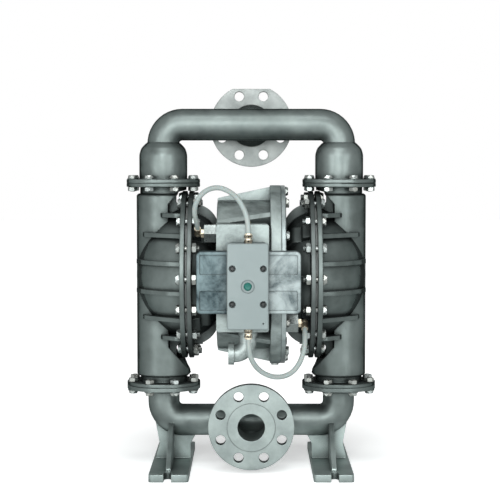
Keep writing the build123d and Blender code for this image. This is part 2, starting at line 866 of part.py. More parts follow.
# Centre section: air cylinder with its ribs, end disc, valve pad and ports
with BuildPart() as centre_housing:
    shell = outline(
        shaft_section,
        [
            (-centre_half, 0),
            (-centre_half, cylinder_radius),
            (centre_disc_x, cylinder_radius),
            (centre_disc_x, centre_disc_radius),
            (cover_disc_x, centre_disc_radius),
            (cover_disc_x, 0),
        ],
        [0, 3, 0, 2, 1, 0],
    )
    revolve(shell, axis=shaft_axis)
    rib = outline(
        shaft_section,
        [
            (-centre_half, cylinder_radius - 4),
            (-centre_half, centre_rib_end_radius),
            (centre_disc_x + 1, centre_rib_disc_radius),
            (centre_disc_x + 1, cylinder_radius - 4),
        ],
        [0, 3, 0, 0],
    )
    for turn in range(centre_rib_count):
        turned = rib.rotate(shaft_axis, turn * 360 / centre_rib_count)
        extrude(turned, amount=centre_rib_thickness / 2, both=True)
    pad_x = (pad_left_x + pad_right_x) / 2
    pad_z = (pad_bottom_z + pad_top_z) / 2
    with BuildSketch(facing_front(pad_x, -pad_back, pad_z)):
        RectangleRounded(pad_right_x - pad_left_x, pad_top_z - pad_bottom_z, pad_corner)
    extrude(amount=pad_reach - pad_back)
    # Bosses for the left pilot valve and the exhaust
    with BuildSketch(facing_side(-centre_half, pilot_y, shaft_z + pilot_rise)):
        Circle(pilot_boss_radius)
    extrude(amount=pilot_boss_length)
    back_face = Plane(origin=(exhaust_x, mid_y + exhaust_reach, shaft_z), x_dir=(-1, 0, 0), z_dir=(0, 1, 0))
    with BuildSketch(back_face):
        Circle(exhaust_boss_radius)
    extrude(amount=-exhaust_reach / 3)
    # The end of the boss is faced, also where a rib rises past it
    with BuildSketch(back_face):
        Circle(exhaust_boss_radius + 0.5)
    extrude(amount=centre_disc_radius - exhaust_reach, mode=Mode.SUBTRACT)
    # Cylinder, bush seat, shaft seats and threads
    with BuildSketch(facing_side(cylinder_floor - centre_half, 0, shaft_z)):
        Circle(cylinder_bore)
    extrude(amount=cover_disc_x + centre_half, mode=Mode.SUBTRACT)
    with BuildSketch(facing_side(-centre_half, 0, shaft_z)):
        Circle(shaft_radius + bush_wall)
        with PolarLocations(air_way_circle_radius, 1, start_angle=90):
            Circle(air_way_radius)
    extrude(amount=cylinder_floor, mode=Mode.SUBTRACT)
    with BuildSketch(facing_side(-centre_half, 0, shaft_z)):
        with PolarLocations(inner_screw_circle_radius, inner_screw_count, start_angle=45):
            Circle(inner_screw_radius + thread_fit)
        with Locations((pilot_y, pilot_rise)):
            Circle(pilot_thread_radius + thread_fit)
    extrude(amount=inner_thread_depth + 0.5, mode=Mode.SUBTRACT)
    with BuildSketch(facing_side(cover_disc_x, 0, shaft_z)):
        with PolarLocations(centre_bolt_circle_radius, centre_bolt_count):
            Circle(m10[0] + thread_fit)
    extrude(amount=centre_disc_x - cover_disc_x, mode=Mode.SUBTRACT)
    with BuildSketch(back_face):
        Circle(exhaust_thread_radius)
    extrude(amount=-exhaust_thread_depth, mode=Mode.SUBTRACT)
    with BuildSketch(facing_up(plug_x, 0, shaft_z - centre_disc_radius - 1)):
        Circle(plug_thread_radius + thread_fit)
    extrude(amount=plug_thread_depth + 1.5, mode=Mode.SUBTRACT)
    # Ways from the valve pad to both ends of the cylinder, and from the air inlet to the pad
    way_angle = radians(air_way_angle)
    way_z = shaft_z + air_way_reach * cos(way_angle)
    way_y = -air_way_reach * sin(way_angle)
    with BuildSketch(facing_front(0, -pad_reach, way_z)):
        with Locations((pad_port_left_x, 0)):
            Circle(air_way_radius)
    extrude(amount=-(pad_reach - pad_back), mode=Mode.SUBTRACT)
    with BuildSketch(facing_front(0, -pad_reach, way_z)):
        with Locations((pad_port_right_x, 0)):
            Circle(air_way_radius)
    extrude(amount=-(pad_reach + way_y), mode=Mode.SUBTRACT)
    with BuildSketch(facing_side(pad_port_right_x, way_y, way_z)):
        Circle(air_way_radius - 0.5)
    extrude(amount=cover_disc_x - pad_port_right_x, mode=Mode.SUBTRACT)
    with BuildSketch(facing_up(air_elbow_x, air_elbow_y - 8, pad_bottom_z)):
        Circle(air_nose_radius + thread_fit)
    extrude(amount=air_nose_length + 1, mode=Mode.SUBTRACT)
    with BuildSketch(facing_up(air_elbow_x, air_elbow_y - 8, pad_bottom_z)):
        Circle(air_supply_radius)
    extrude(amount=supply_port_z - pad_bottom_z, mode=Mode.SUBTRACT)
    with BuildSketch(facing_front(air_elbow_x, -pad_reach, supply_port_z)):
        Circle(air_supply_radius - 0.5)
    extrude(amount=-(pad_reach + air_elbow_y - 8), mode=Mode.SUBTRACT)
    # Threads of the cover screws
    for right in (-1, 1):
        for up in (-1, 1):
            with BuildSketch(facing_front(cover_x + right * screw_dx, -pad_reach, cover_z + up * screw_dz)):
                Circle(screw_radius + thread_fit)
            extrude(amount=-screw_thread_depth - 1, mode=Mode.SUBTRACT)
write(centre_housing.part, "centre_housing")

with BuildPart() as centre_cover:
    disc = outline(
        shaft_section,
        [
            (cover_disc_x - cover_hub_length, 0),
            (cover_disc_x - cover_hub_length, centre_hub_radius),
            (cover_disc_x, centre_hub_radius),
            (cover_disc_x, centre_disc_radius),
            (centre_half, centre_disc_radius),
            (centre_half, 0),
        ],
        [0, 1, 0, 1, 2, 0],
    )
    revolve(disc, axis=shaft_axis)
    with BuildSketch(facing_side(centre_half, 0, shaft_z)):
        with PolarLocations(centre_bolt_circle_radius, centre_bolt_count):
            Circle(centre_hole_radius)
        with PolarLocations(air_way_circle_radius, 1, start_angle=90):
            Circle(air_way_radius)
    extrude(amount=cover_disc_x - centre_half, mode=Mode.SUBTRACT)
    with BuildSketch(facing_side(centre_half, 0, shaft_z)):
        Circle(shaft_radius + bush_wall)
    extrude(amount=cover_disc_x - cover_hub_length - centre_half, mode=Mode.SUBTRACT)
    with BuildSketch(facing_side(centre_half, 0, shaft_z)):
        with PolarLocations(inner_screw_circle_radius, inner_screw_count, start_angle=45):
            Circle(inner_screw_radius + thread_fit)
        with Locations((pilot_y, -pilot_rise)):
            Circle(pilot_thread_radius + thread_fit)
    extrude(amount=-inner_thread_depth - 0.5, mode=Mode.SUBTRACT)
    # Groove that leads the air from its way into the cylinder
    groove_middle = (air_way_reach + cylinder_bore - 14) / 2
    with BuildSketch(facing_side(cover_disc_x, 0, shaft_z)):
        with Locations((-groove_middle * sin(way_angle), groove_middle * cos(way_angle))):
            Rectangle(
                air_way_reach - cylinder_bore + 14,
                2 * air_way_radius,
                rotation=air_way_angle - 90,
            )
    extrude(amount=cover_groove_depth, mode=Mode.SUBTRACT)
write(centre_cover.part, "centre_cover")

# Air valve: gasket, body with the bore of the spool, and the cover
screw_spots = [(right * screw_dx, up * screw_dz) for right in (-1, 1) for up in (-1, 1)]
with BuildPart() as valve_gasket:
    with BuildSketch(facing_front(0, -pad_reach, 0)):
        with Locations((pad_x, valve_z)):
            RectangleRounded(pad_right_x - pad_left_x - 4, valve_height - 6, pad_corner)
        with Locations((pad_port_left_x, way_z), (pad_port_right_x, way_z)):
            Circle(air_way_radius, mode=Mode.SUBTRACT)
        with Locations((air_elbow_x, supply_port_z)):
            Circle(air_supply_radius, mode=Mode.SUBTRACT)
        with Locations((cover_x, cover_z)):
            with Locations(*screw_spots):
                Circle(screw_radius + loose_fit, mode=Mode.SUBTRACT)
    extrude(amount=valve_gasket_thickness)
write(valve_gasket.part, "valve_gasket")

with BuildPart() as valve_body:
    with BuildSketch(facing_front(valve_x, -valve_back, valve_z)):
        RectangleRounded(valve_length, valve_height, valve_corner)
    extrude(amount=valve_depth - valve_band_drop)
    front_edges = valve_body.edges().group_by(Axis.Y)[0]
    fillet(front_edges, valve_edge)
    # Recessed fields above and below the middle band
    field_height = (valve_height - valve_band_height) / 2 - valve_field_margin
    for up in (-1, 1):
        field_z = valve_z + up * (valve_band_height + field_height) / 2
        with BuildSketch(facing_front(valve_x, -valve_front + valve_band_drop, field_z)):
            RectangleRounded(valve_length - 2 * valve_field_margin, field_height, 3)
        extrude(amount=-valve_field_depth, mode=Mode.SUBTRACT)
    with BuildSketch(facing_front(cover_x, -valve_back, cover_z)):
        RectangleRounded(core_width, core_height, cover_corner)
    extrude(amount=valve_depth)
    # Spool bore through the body, ports at the back and screw holes
    with BuildSketch(facing_side(valve_x - valve_length / 2, -spool_y, valve_z)):
        Circle(spool_bore + sleeve_wall)
    extrude(amount=valve_length, mode=Mode.SUBTRACT)
    with BuildSketch(facing_front(0, -valve_back, 0)):
        with Locations((pad_port_left_x, way_z), (pad_port_right_x, way_z)):
            Circle(air_way_radius)
        with Locations((air_elbow_x, supply_port_z)):
            Circle(air_supply_radius)
    extrude(amount=port_depth, mode=Mode.SUBTRACT)
    with BuildSketch(facing_front(cover_x, -valve_back, cover_z)):
        with Locations(*screw_spots):
            Circle(screw_radius + loose_fit)
    extrude(amount=valve_depth, mode=Mode.SUBTRACT)
write(valve_body.part, "valve_body")

cover_face = facing_front(cover_x, -cover_front, cover_z)
with BuildPart() as valve_cover:
    with BuildSketch(facing_front(cover_x, -valve_front, cover_z)):
        RectangleRounded(cover_width, cover_height, cover_corner)
    extrude(amount=cover_depth)
    chamfer(valve_cover.edges().group_by(Axis.Y)[0], cover_edge)
    with BuildSketch(cover_face):
        Circle(button_recess_radius)
    extrude(amount=-button_recess_depth, mode=Mode.SUBTRACT)
    with BuildSketch(cover_face):
        Circle(button_radius + loose_fit)
    extrude(amount=-cover_depth, mode=Mode.SUBTRACT)
    with BuildSketch(facing_front(cover_x, -valve_front, cover_z)):
        Circle(button_shoulder_radius + loose_fit)
    extrude(amount=cover_depth - button_shoulder_depth, mode=Mode.SUBTRACT)
    with BuildSketch(cover_face):
        with Locations(*screw_spots):
            Circle(screw_head_radius + loose_fit)
    extrude(amount=-screw_sunk - screw_head_height, mode=Mode.SUBTRACT)
    with BuildSketch(cover_face):
        with Locations(*screw_spots):
            Circle(screw_radius + loose_fit)
    extrude(amount=-cover_depth, mode=Mode.SUBTRACT)
    with BuildSketch(cover_face):
        with Locations((vent_dx, -vent_dz)):
            Circle(vent_radius)
    extrude(amount=-cover_depth, mode=Mode.SUBTRACT)
    # Threads of the hose fittings
    for end in (-1, 1):
        end_z = cover_z + end * cover_height / 2
        with BuildSketch(facing_up(fitting_x, -fitting_y, end_z)):
            Circle(fitting_thread_radius + thread_fit)
        extrude(amount=-end * (fitting_thread_length + 1), mode=Mode.SUBTRACT)
write(valve_cover.part, "valve_cover")

with BuildPart() as cover_screws:
    with BuildSketch(facing_front(cover_x, -cover_front + screw_sunk, cover_z)):
        with Locations(*screw_spots):
            Circle(screw_head_radius)
    extrude(amount=-screw_head_height)
    with BuildSketch(facing_front(cover_x, -cover_front + screw_sunk, cover_z)):
        with Locations(*screw_spots):
            RegularPolygon(screw_hex_radius, 6, major_radius=False)
    extrude(amount=-screw_head_height / 2, mode=Mode.SUBTRACT)
    with BuildSketch(facing_front(cover_x, -pad_reach + screw_thread_depth, cover_z)):
        with Locations(*screw_spots):
            Circle(screw_radius)
    extrude(amount=cover_front - pad_reach + screw_thread_depth - screw_sunk - screw_head_height)
write(cover_screws.part, "cover_screws")

# Override button with its shoulder, and the spring behind it
with BuildPart() as override_button:
    with BuildSketch(facing_front(cover_x, -cover_front + button_sunk, cover_z)):
        Circle(button_radius)
    extrude(amount=-(button_shoulder_depth - button_sunk + 1))
    chamfer(override_button.edges().group_by(Axis.Y)[0], 0.8)
    with BuildSketch(facing_front(cover_x, -cover_front + button_shoulder_depth + running_fit, cover_z)):
        Circle(button_shoulder_radius)
    extrude(amount=-button_shoulder_height)
write(override_button.part, "override_button")

spring_front = cover_front - button_shoulder_depth - running_fit - button_shoulder_height
spring_length = spring_front - valve_front - 2 * spring_wire
with BuildPart() as button_spring:
    with BuildLine():
        coil = Helix(
            spring_length / spring_turns,
            spring_length,
            spring_radius,
            center=(cover_x, mid_y - valve_front - spring_wire, cover_z),
            direction=(0, -1, 0),
        )
    with BuildSketch(Plane(origin=coil @ 0, z_dir=coil % 0)):
        Circle(spring_wire)
    sweep(is_frenet=True)
write(button_spring.part, "button_spring")

# Spool group, along X inside the valve body
with BuildPart() as valve_sleeve:
    with BuildSketch(facing_side(valve_x - valve_length / 2 + end_plug_length, -spool_y, valve_z)):
        Circle(spool_bore + sleeve_wall - running_fit)
        Circle(spool_bore, mode=Mode.SUBTRACT)
    extrude(amount=valve_length - 2 * end_plug_length)
write(valve_sleeve.part, "valve_sleeve")

with BuildPart() as valve_end_plugs:
    for end in (-1, 1):
        with BuildSketch(facing_side(valve_x + end * valve_length / 2, -spool_y, valve_z)):
            Circle(spool_bore + sleeve_wall - running_fit)
        extrude(amount=-end * end_plug_length)
        with BuildSketch(facing_side(valve_x + end * valve_length / 2, -spool_y, valve_z)):
            RegularPolygon(end_plug_hex, 6, major_radius=False)
        extrude(amount=-end * end_plug_length / 2, mode=Mode.SUBTRACT)
write(valve_end_plugs.part, "valve_end_plugs")

spool_length = valve_length - 2 * end_plug_length - spool_travel - 2 * loose_fit
spool_start = valve_x - valve_length / 2 + end_plug_length + loose_fit
with BuildPart() as valve_spool:
    with BuildSketch(facing_side(spool_start, -spool_y, valve_z)):
        Circle(spool_waist_radius)
    extrude(amount=spool_length)
    land_step = (spool_length - spool_land) / (spool_land_count - 1)
    for land in range(spool_land_count):
        with BuildSketch(facing_side(spool_start + land * land_step, -spool_y, valve_z)):
            Circle(spool_bore - running_fit)
        extrude(amount=spool_land)
write(valve_spool.part, "valve_spool")

# Pilot valves, their spools and the hose elbows on them; the right one is upside down
elbow_lean = radians(elbow_tilt)
elbow_x = centre_half + pilot_length + fitting_nut + elbow_block
pilot_face_x = centre_half + pilot_length
for side, name in ((-1, "left"), (1, "right")):
    rise = -side * pilot_rise
    with BuildPart() as pilot_valve:
        with BuildSketch(facing_side(side * centre_half, pilot_y, shaft_z + rise)):
            RegularPolygon(pilot_flats / 2, 6, major_radius=False)
        extrude(amount=side * pilot_length)
        with BuildSketch(facing_side(side * centre_half, pilot_y, shaft_z + rise)):
            Circle(pilot_thread_radius)
        extrude(amount=-side * (inner_thread_depth - 1))
        with BuildSketch(facing_side(side * pilot_chamber_x, pilot_y, shaft_z + rise)):
            Circle(pilot_spool_radius + running_fit)
        extrude(amount=side * (pilot_spool_length + pilot_travel + 2 * loose_fit), mode=Mode.SUBTRACT)
        with BuildSketch(facing_side(side * pilot_face_x, pilot_y, shaft_z + rise)):
            Circle(hose_way_radius)
        extrude(amount=-side * (pilot_face_x - pilot_chamber_x), mode=Mode.SUBTRACT)
    write(pilot_valve.part, name + "_pilot_valve")
    with BuildPart() as pilot_spool:
        with BuildSketch(facing_side(side * (pilot_chamber_x + loose_fit), pilot_y, shaft_z + rise)):
            Circle(pilot_spool_radius)
        extrude(amount=side * pilot_spool_length)
    write(pilot_spool.part, name + "_pilot_spool")
    with BuildPart() as hose_elbow:
        with BuildSketch(facing_side(side * pilot_face_x, pilot_y, shaft_z + rise)):
            RegularPolygon(fitting_flats / 2, 6, major_radius=False)
        extrude(amount=side * fitting_nut)
        with BuildSketch(facing_side(side * pilot_face_x, pilot_y, shaft_z + rise)):
            Circle(elbow_radius - 1)
        extrude(amount=side * (fitting_nut + elbow_block))
        with Locations((side * elbow_x, mid_y + pilot_y, shaft_z + rise)):
            Sphere(elbow_radius + 0.7)
        elbow_plane = Plane(
            origin=(side * elbow_x, mid_y + pilot_y, shaft_z + rise),
            z_dir=(0, -sin(elbow_lean), -side * cos(elbow_lean)),
        )
        with BuildSketch(elbow_plane):
            Circle(elbow_radius - 0.5)
        extrude(amount=elbow_arm)
        with BuildSketch(elbow_plane):
            Circle(hose_way_radius - 0.3)
        extrude(amount=elbow_arm, mode=Mode.SUBTRACT)
        with BuildSketch(facing_side(side * pilot_face_x, pilot_y, shaft_z + rise)):
            Circle(hose_way_radius)
        extrude(amount=side * (fitting_nut + elbow_block), mode=Mode.SUBTRACT)
    write(hose_elbow.part, name + "_hose_elbow")

# Straight hose fittings on the top and the bottom of the valve cover
for end, name in ((1, "top"), (-1, "bottom")):
    end_z = cover_z + end * cover_height / 2
    with BuildPart() as hose_fitting:
        with BuildSketch(facing_up(fitting_x, -fitting_y, end_z)):
            Circle(fitting_thread_radius)
        extrude(amount=-end * fitting_thread_length)
        for start in (0, fitting_hex + fitting_waist):
            with BuildSketch(facing_up(fitting_x, -fitting_y, end_z + end * start)):
                RegularPolygon(fitting_flats / 2, 6, major_radius=False)
            extrude(amount=end * fitting_hex)
        with BuildSketch(facing_up(fitting_x, -fitting_y, end_z)):
            Circle(fitting_waist_radius)
        extrude(amount=end * (2 * fitting_hex + fitting_waist))
        with BuildSketch(facing_up(fitting_x, -fitting_y, end_z + end * (2 * fitting_hex + fitting_waist))):
            Circle(fitting_sleeve_radius)
        extrude(amount=end * fitting_sleeve)
        with BuildSketch(facing_up(fitting_x, -fitting_y, end_z - end * fitting_thread_length)):
            Circle(hose_way_radius)
        extrude(
            amount=end * (fitting_thread_length + 2 * fitting_hex + fitting_waist + fitting_sleeve),
            mode=Mode.SUBTRACT,
        )
    write(hose_fitting.part, name + "_hose_fitting")


# A hose follows its points, with an arc in each corner that leaves room for its neighbours
def hose(points):
    spots = [Vector(x, mid_y + y, z) for x, y, z in points]
    radii = []
    for before, here, after in zip(spots, spots[1:], spots[2:]):
        turn = (here - before).get_angle(after - here)
        shorter = min((here - before).length, (after - here).length)
        radii.append(round(0.45 * shorter / tan(radians(turn) / 2), 1))
    with BuildPart() as tube:
        with BuildLine() as line:
            FilletPolyline(*spots, radius=radii)
        with BuildSketch(Plane(origin=line.line @ 0, z_dir=line.line % 0)):
            Circle(hose_radius)
        sweep()
    print("hose", radii, tube.part.volume, pi * hose_radius**2 * line.wire().length)
    return tube.part


hose_top_z = cover_z + cover_height / 2 + 2 * fitting_hex + fitting_waist + fitting_sleeve
hose_low_z = 2 * cover_z - hose_top_z
elbow_end_y = pilot_y - elbow_arm * sin(elbow_lean)
elbow_end_rise = pilot_rise + elbow_arm * cos(elbow_lean)
upper_hose_points = [
    (fitting_x, -fitting_y, hose_top_z),
    (fitting_x, -fitting_y, 487),
    (-14, -219, 516),
    (-32, -206, 540),
    (-60, -192, 553),
    (-87, -178, 545),
    (-104, -168, 522),
    (-106, -158, 499),
    (-elbow_x, elbow_end_y - 16, shaft_z + elbow_end_rise + 11),
    (-elbow_x, elbow_end_y, shaft_z + elbow_end_rise),
]
lower_hose_points = [
    (fitting_x, -fitting_y, hose_low_z),
    (fitting_x, -fitting_y, 256),
    (2, -219, 231),
    (18, -205, 211),
    (44, -190, 198.5),
    (72, -176, 202),
    (91, -165, 222),
    (100, -157, 250),
    (elbow_x, elbow_end_y - 16, shaft_z - elbow_end_rise - 11),
    (elbow_x, elbow_end_y, shaft_z - elbow_end_rise),
]
write(hose(upper_hose_points), "upper_signal_hose")
write(hose(lower_hose_points), "lower_signal_hose")

# Air inlet elbow under the valve pad
with BuildPart() as air_inlet_elbow:
    elbow_top_y = air_elbow_y - 8
    with BuildLine():
        FilletPolyline(
            (air_elbow_x, mid_y + elbow_top_y, pad_bottom_z),
            (air_elbow_x, mid_y + elbow_top_y, air_elbow_z),
            (air_mouth_x, mid_y + elbow_top_y, air_elbow_z),
            radius=air_elbow_bend,
        )
    with BuildSketch(facing_up(air_elbow_x, elbow_top_y, pad_bottom_z)):
        Circle(air_elbow_radius)
    sweep()
    with BuildSketch(facing_up(air_elbow_x, elbow_top_y, pad_bottom_z)):
        Circle(air_collar_radius)
    extrude(amount=-air_collar_height)
    with BuildSketch(facing_up(air_elbow_x, elbow_top_y, pad_bottom_z)):
        Circle(air_nose_radius)
    extrude(amount=air_nose_length)
    with BuildSketch(facing_side(air_mouth_x, elbow_top_y, air_elbow_z)):
        Circle(air_mouth_radius)
    extrude(amount=air_mouth_length)
    with BuildLine():
        FilletPolyline(
            (air_elbow_x, mid_y + elbow_top_y, pad_bottom_z + air_nose_length),
            (air_elbow_x, mid_y + elbow_top_y, air_elbow_z),
            (air_mouth_x, mid_y + elbow_top_y, air_elbow_z),
            radius=air_elbow_bend,
        )
    with BuildSketch(facing_up(air_elbow_x, elbow_top_y, pad_bottom_z + air_nose_length)):
        Circle(air_supply_radius)
    sweep(mode=Mode.SUBTRACT)
    with BuildSketch(facing_side(air_mouth_x, elbow_top_y, air_elbow_z)):
        Circle(air_thread_radius)
    extrude(amount=air_thread_depth, mode=Mode.SUBTRACT)
write(air_inlet_elbow.part, "air_inlet_elbow")

with BuildPart() as drain_plug:
    plug_face = Plane(origin=(plug_x, mid_y, shaft_z - centre_disc_radius), z_dir=(0, 0, -1))
    extrude(hexagon(plug_face, plug_flats), amount=plug_height)
    with BuildSketch(plug_face):
        Circle(plug_thread_radius)
    extrude(amount=-plug_thread_depth)
write(drain_plug.part, "drain_plug")


# A fastener lies in its own frame: the clamped face on Z = 0, its head above, its thread below
def hex_bolt(size, length):
    thread_radius, flats, head_height, nut_height = size
    with BuildPart() as piece:
        extrude(hexagon(Plane.XY, flats), amount=head_height)
        with BuildSketch():
            Circle(thread_radius)
        extrude(amount=-length)
    return piece.part


def hex_nut(size, grip):
    thread_radius, flats, head_height, nut_height = size
    with BuildPart() as piece:
        with BuildSketch(Plane.XY.offset(-grip)):
            RegularPolygon(flats / 2, 6, major_radius=False)
            Circle(thread_radius + thread_fit, mode=Mode.SUBTRACT)
        extrude(amount=-nut_height)
    return piece.part


joint_grip = 2 * joint_plate + joint_boss_height
joint_bolt = hex_bolt(m10, joint_grip + m10[3] + joint_stud_end)
joint_nut = hex_nut(m10, joint_grip)
upper_face = facing_up(column_x, 0, upper_joint_z + joint_plate + joint_boss_height)
lower_face = Plane(
    origin=(column_x, mid_y, lower_joint_z - joint_plate - joint_boss_height),
    z_dir=(0, 0, -1),
)
for face, name in ((upper_face, "upper_joint_bolts"), (lower_face, "lower_joint_bolts")):
    with BuildPart() as joint_bolts:
        with Locations(face):
            with PolarLocations(joint_bolt_circle_radius, joint_bolt_count, start_angle=22.5):
                add(joint_bolt)
                add(joint_nut)
    write_pair(joint_bolts.part, name)

clamp_grip = ring_back_x - air_back_x
clamp_bolt = hex_bolt(m12, clamp_grip + m12[3] + stud_end)
clamp_nut = hex_nut(m12, clamp_grip)
with BuildPart() as clamp_bolts:
    with Locations(facing_side(ring_back_x, 0, shaft_z)):
        with PolarLocations(clamp_bolt_circle_radius, clamp_bolt_count):
            add(clamp_bolt)
            add(clamp_nut)
write_pair(clamp_bolts.part, "clamp_bolts")

centre_bolt = hex_bolt(m10, centre_half - centre_disc_x - 2)
with BuildPart() as centre_cover_bolts:
    with Locations(facing_side(centre_half, 0, shaft_z)):
        with PolarLocations(centre_bolt_circle_radius, centre_bolt_count):
            add(centre_bolt)
write(centre_cover_bolts.part, "centre_cover_bolts")

# Socket screws that hold an air chamber on the centre section from inside
inner_seat_x = air_inside_x - inner_head_height
with BuildPart() as inner_screws:
    with Locations(facing_side(inner_seat_x, 0, shaft_z)):
        with PolarLocations(inner_screw_circle_radius, inner_screw_count, start_angle=45):
            Cylinder(
                inner_head_radius,
                inner_head_height,
                align=(Align.CENTER, Align.CENTER, Align.MIN),
            )
            Cylinder(
                inner_screw_radius,
                inner_seat_x - centre_half + inner_thread_depth,
                align=(Align.CENTER, Align.CENTER, Align.MAX),
            )
            with Locations((0, 0, inner_head_height)):
                Cylinder(
                    inner_hex_radius,
                    inner_head_height / 2,
                    align=(Align.CENTER, Align.CENTER, Align.MAX),
                    mode=Mode.SUBTRACT,
                )
write_pair(inner_screws.part, "air_chamber_screws")

# Shaft group
with BuildPart() as main_shaft:
    with BuildSketch(facing_side(0, 0, shaft_z)):
        Circle(shaft_radius)
    extrude(amount=shaft_end_x, both=True)
write(main_shaft.part, "main_shaft")

with BuildPart() as air_piston:
    piston_back_x = piston_mid_x - air_piston_thickness / 2
    with BuildSketch(facing_side(piston_back_x, 0, shaft_z)):
        Circle(cylinder_bore - 0.4)
        Circle(shaft_radius + running_fit, mode=Mode.SUBTRACT)
    extrude(amount=air_piston_thickness)
    for face_x, inward in ((piston_back_x, 1), (piston_back_x + air_piston_thickness, -1)):
        with BuildSketch(facing_side(face_x, 0, shaft_z)):
            Circle(piston_rim_radius)
            Circle(piston_hub_radius, mode=Mode.SUBTRACT)
        extrude(amount=inward * piston_recess, mode=Mode.SUBTRACT)
    with BuildSketch(facing_side(piston_mid_x - air_piston_ring_width / 2, 0, shaft_z)):
        Circle(cylinder_bore)
        Circle(cylinder_bore - air_piston_ring_depth - running_fit, mode=Mode.SUBTRACT)
    extrude(amount=air_piston_ring_width, mode=Mode.SUBTRACT)
write(air_piston.part, "air_piston")

with BuildPart() as air_piston_ring:
    with BuildSketch(facing_side(piston_mid_x - air_piston_ring_width / 2 + running_fit, 0, shaft_z)):
        Circle(cylinder_bore - running_fit)
        Circle(cylinder_bore - air_piston_ring_depth, mode=Mode.SUBTRACT)
    extrude(amount=air_piston_ring_width - 2 * running_fit)
write(air_piston_ring.part, "air_piston_ring")

with BuildPart() as diaphragm:
    section = outline(
        shaft_section,
        [
            (ring_inner_x, shaft_radius + loose_fit),
            (ring_inner_x, 90),
            (ring_inner_x + 9, 98),
            (ring_inner_x + 9, 112),
            (ring_inner_x, 121),
            (ring_inner_x, diaphragm_radius),
            (ring_outer_x, diaphragm_radius),
            (ring_outer_x, 123.5),
            (ring_outer_x + 9, 114),
            (ring_outer_x + 9, 96),
            (ring_outer_x, 88),
            (ring_outer_x, shaft_radius + loose_fit),
        ],
        [0, 4, 4, 4, 4, 0, 0, 3, 6, 6, 3, 0],
    )
    revolve(section, axis=shaft_axis)
write_pair(diaphragm.part, "diaphragm")

with BuildPart() as inner_plate:
    plate = outline(
        shaft_section,
        [
            (ring_inner_x - inner_plate_thickness, shaft_radius + running_fit),
            (ring_inner_x - inner_plate_thickness, plate_hub_radius),
            (ring_inner_x - 6, plate_hub_radius + 6),
            (ring_inner_x - 6, inner_plate_radius),
            (ring_inner_x, inner_plate_radius),
            (ring_inner_x, shaft_radius + running_fit),
        ],
        [0, 2, 3, 2, 2, 0],
    )
    revolve(plate, axis=shaft_axis)
write_pair(inner_plate.part, "inner_plate")

with BuildPart() as outer_plate:
    plate = outline(
        shaft_section,
        [
            (ring_outer_x, 0),
            (ring_outer_x, outer_plate_radius),
            (ring_outer_x + 6, outer_plate_radius),
            (ring_outer_x + outer_plate_thickness, plate_hub_radius),
            (ring_outer_x + outer_plate_thickness, 0),
        ],
        [0, 2, 3, 3, 0],
    )
    revolve(plate, axis=shaft_axis)
    with BuildSketch(facing_side(ring_outer_x, 0, shaft_z)):
        Circle(shaft_radius + running_fit)
    extrude(amount=shaft_end_x - ring_outer_x + running_fit, mode=Mode.SUBTRACT)
write_pair(outer_plate.part, "outer_plate")

with BuildPart() as shaft_bush:
    with BuildSketch(facing_side(centre_half - cylinder_floor, 0, shaft_z)):
        Circle(shaft_radius + bush_wall - running_fit)
        Circle(shaft_radius + running_fit, mode=Mode.SUBTRACT)
    extrude(amount=cylinder_floor)
write_pair(shaft_bush.part, "shaft_bush")

with BuildPart() as shaft_seals:
    for side in (-1, 1):
        with BuildSketch(facing_side(side * centre_half, 0, shaft_z)):
            Circle(shaft_radius + seal_wall - running_fit)
            Circle(shaft_radius + running_fit, mode=Mode.SUBTRACT)
        extrude(amount=side * (shaft_seal_length - running_fit))
write(shaft_seals.part, "shaft_seals")

# Check valves: a seat, its ball resting on the chamfer, and the seal ring round the seat
for joint_z, ring_side, name in (
    (lower_joint_z, -1, "inlet"),
    (upper_joint_z, 1, "discharge"),
):
    with BuildPart() as seat:
        section = outline(
            column_section,
            [
                (seat_bore, joint_z - bed_height),
                (seat_radius, joint_z - bed_height),
                (seat_radius, joint_z + bed_height),
                (seat_bore + seat_chamfer, joint_z + bed_height),
                (seat_bore, joint_z + bed_height - seat_chamfer),
            ],
        )
        revolve(section, axis=column_axis)
    write_pair(seat.part, name + "_seat")
    with BuildPart() as ball:
        with Locations((column_x, mid_y, joint_z + bed_height - seat_chamfer + ball_rise)):
            Sphere(ball_radius)
    write_pair(ball.part, name + "_ball")
with BuildPart() as seat_rings:
    for side in (-1, 1):
        for joint_z, ring_side in ((lower_joint_z, -1), (upper_joint_z, 1)):
            with Locations((side * column_x, mid_y, joint_z + ring_side * seat_ring_section)):
                Torus(seat_ring_radius, seat_ring_section - running_fit)
write(seat_rings.part, "seat_rings")
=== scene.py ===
import json
import math

import bmesh
import bpy
from mathutils import Matrix, Vector


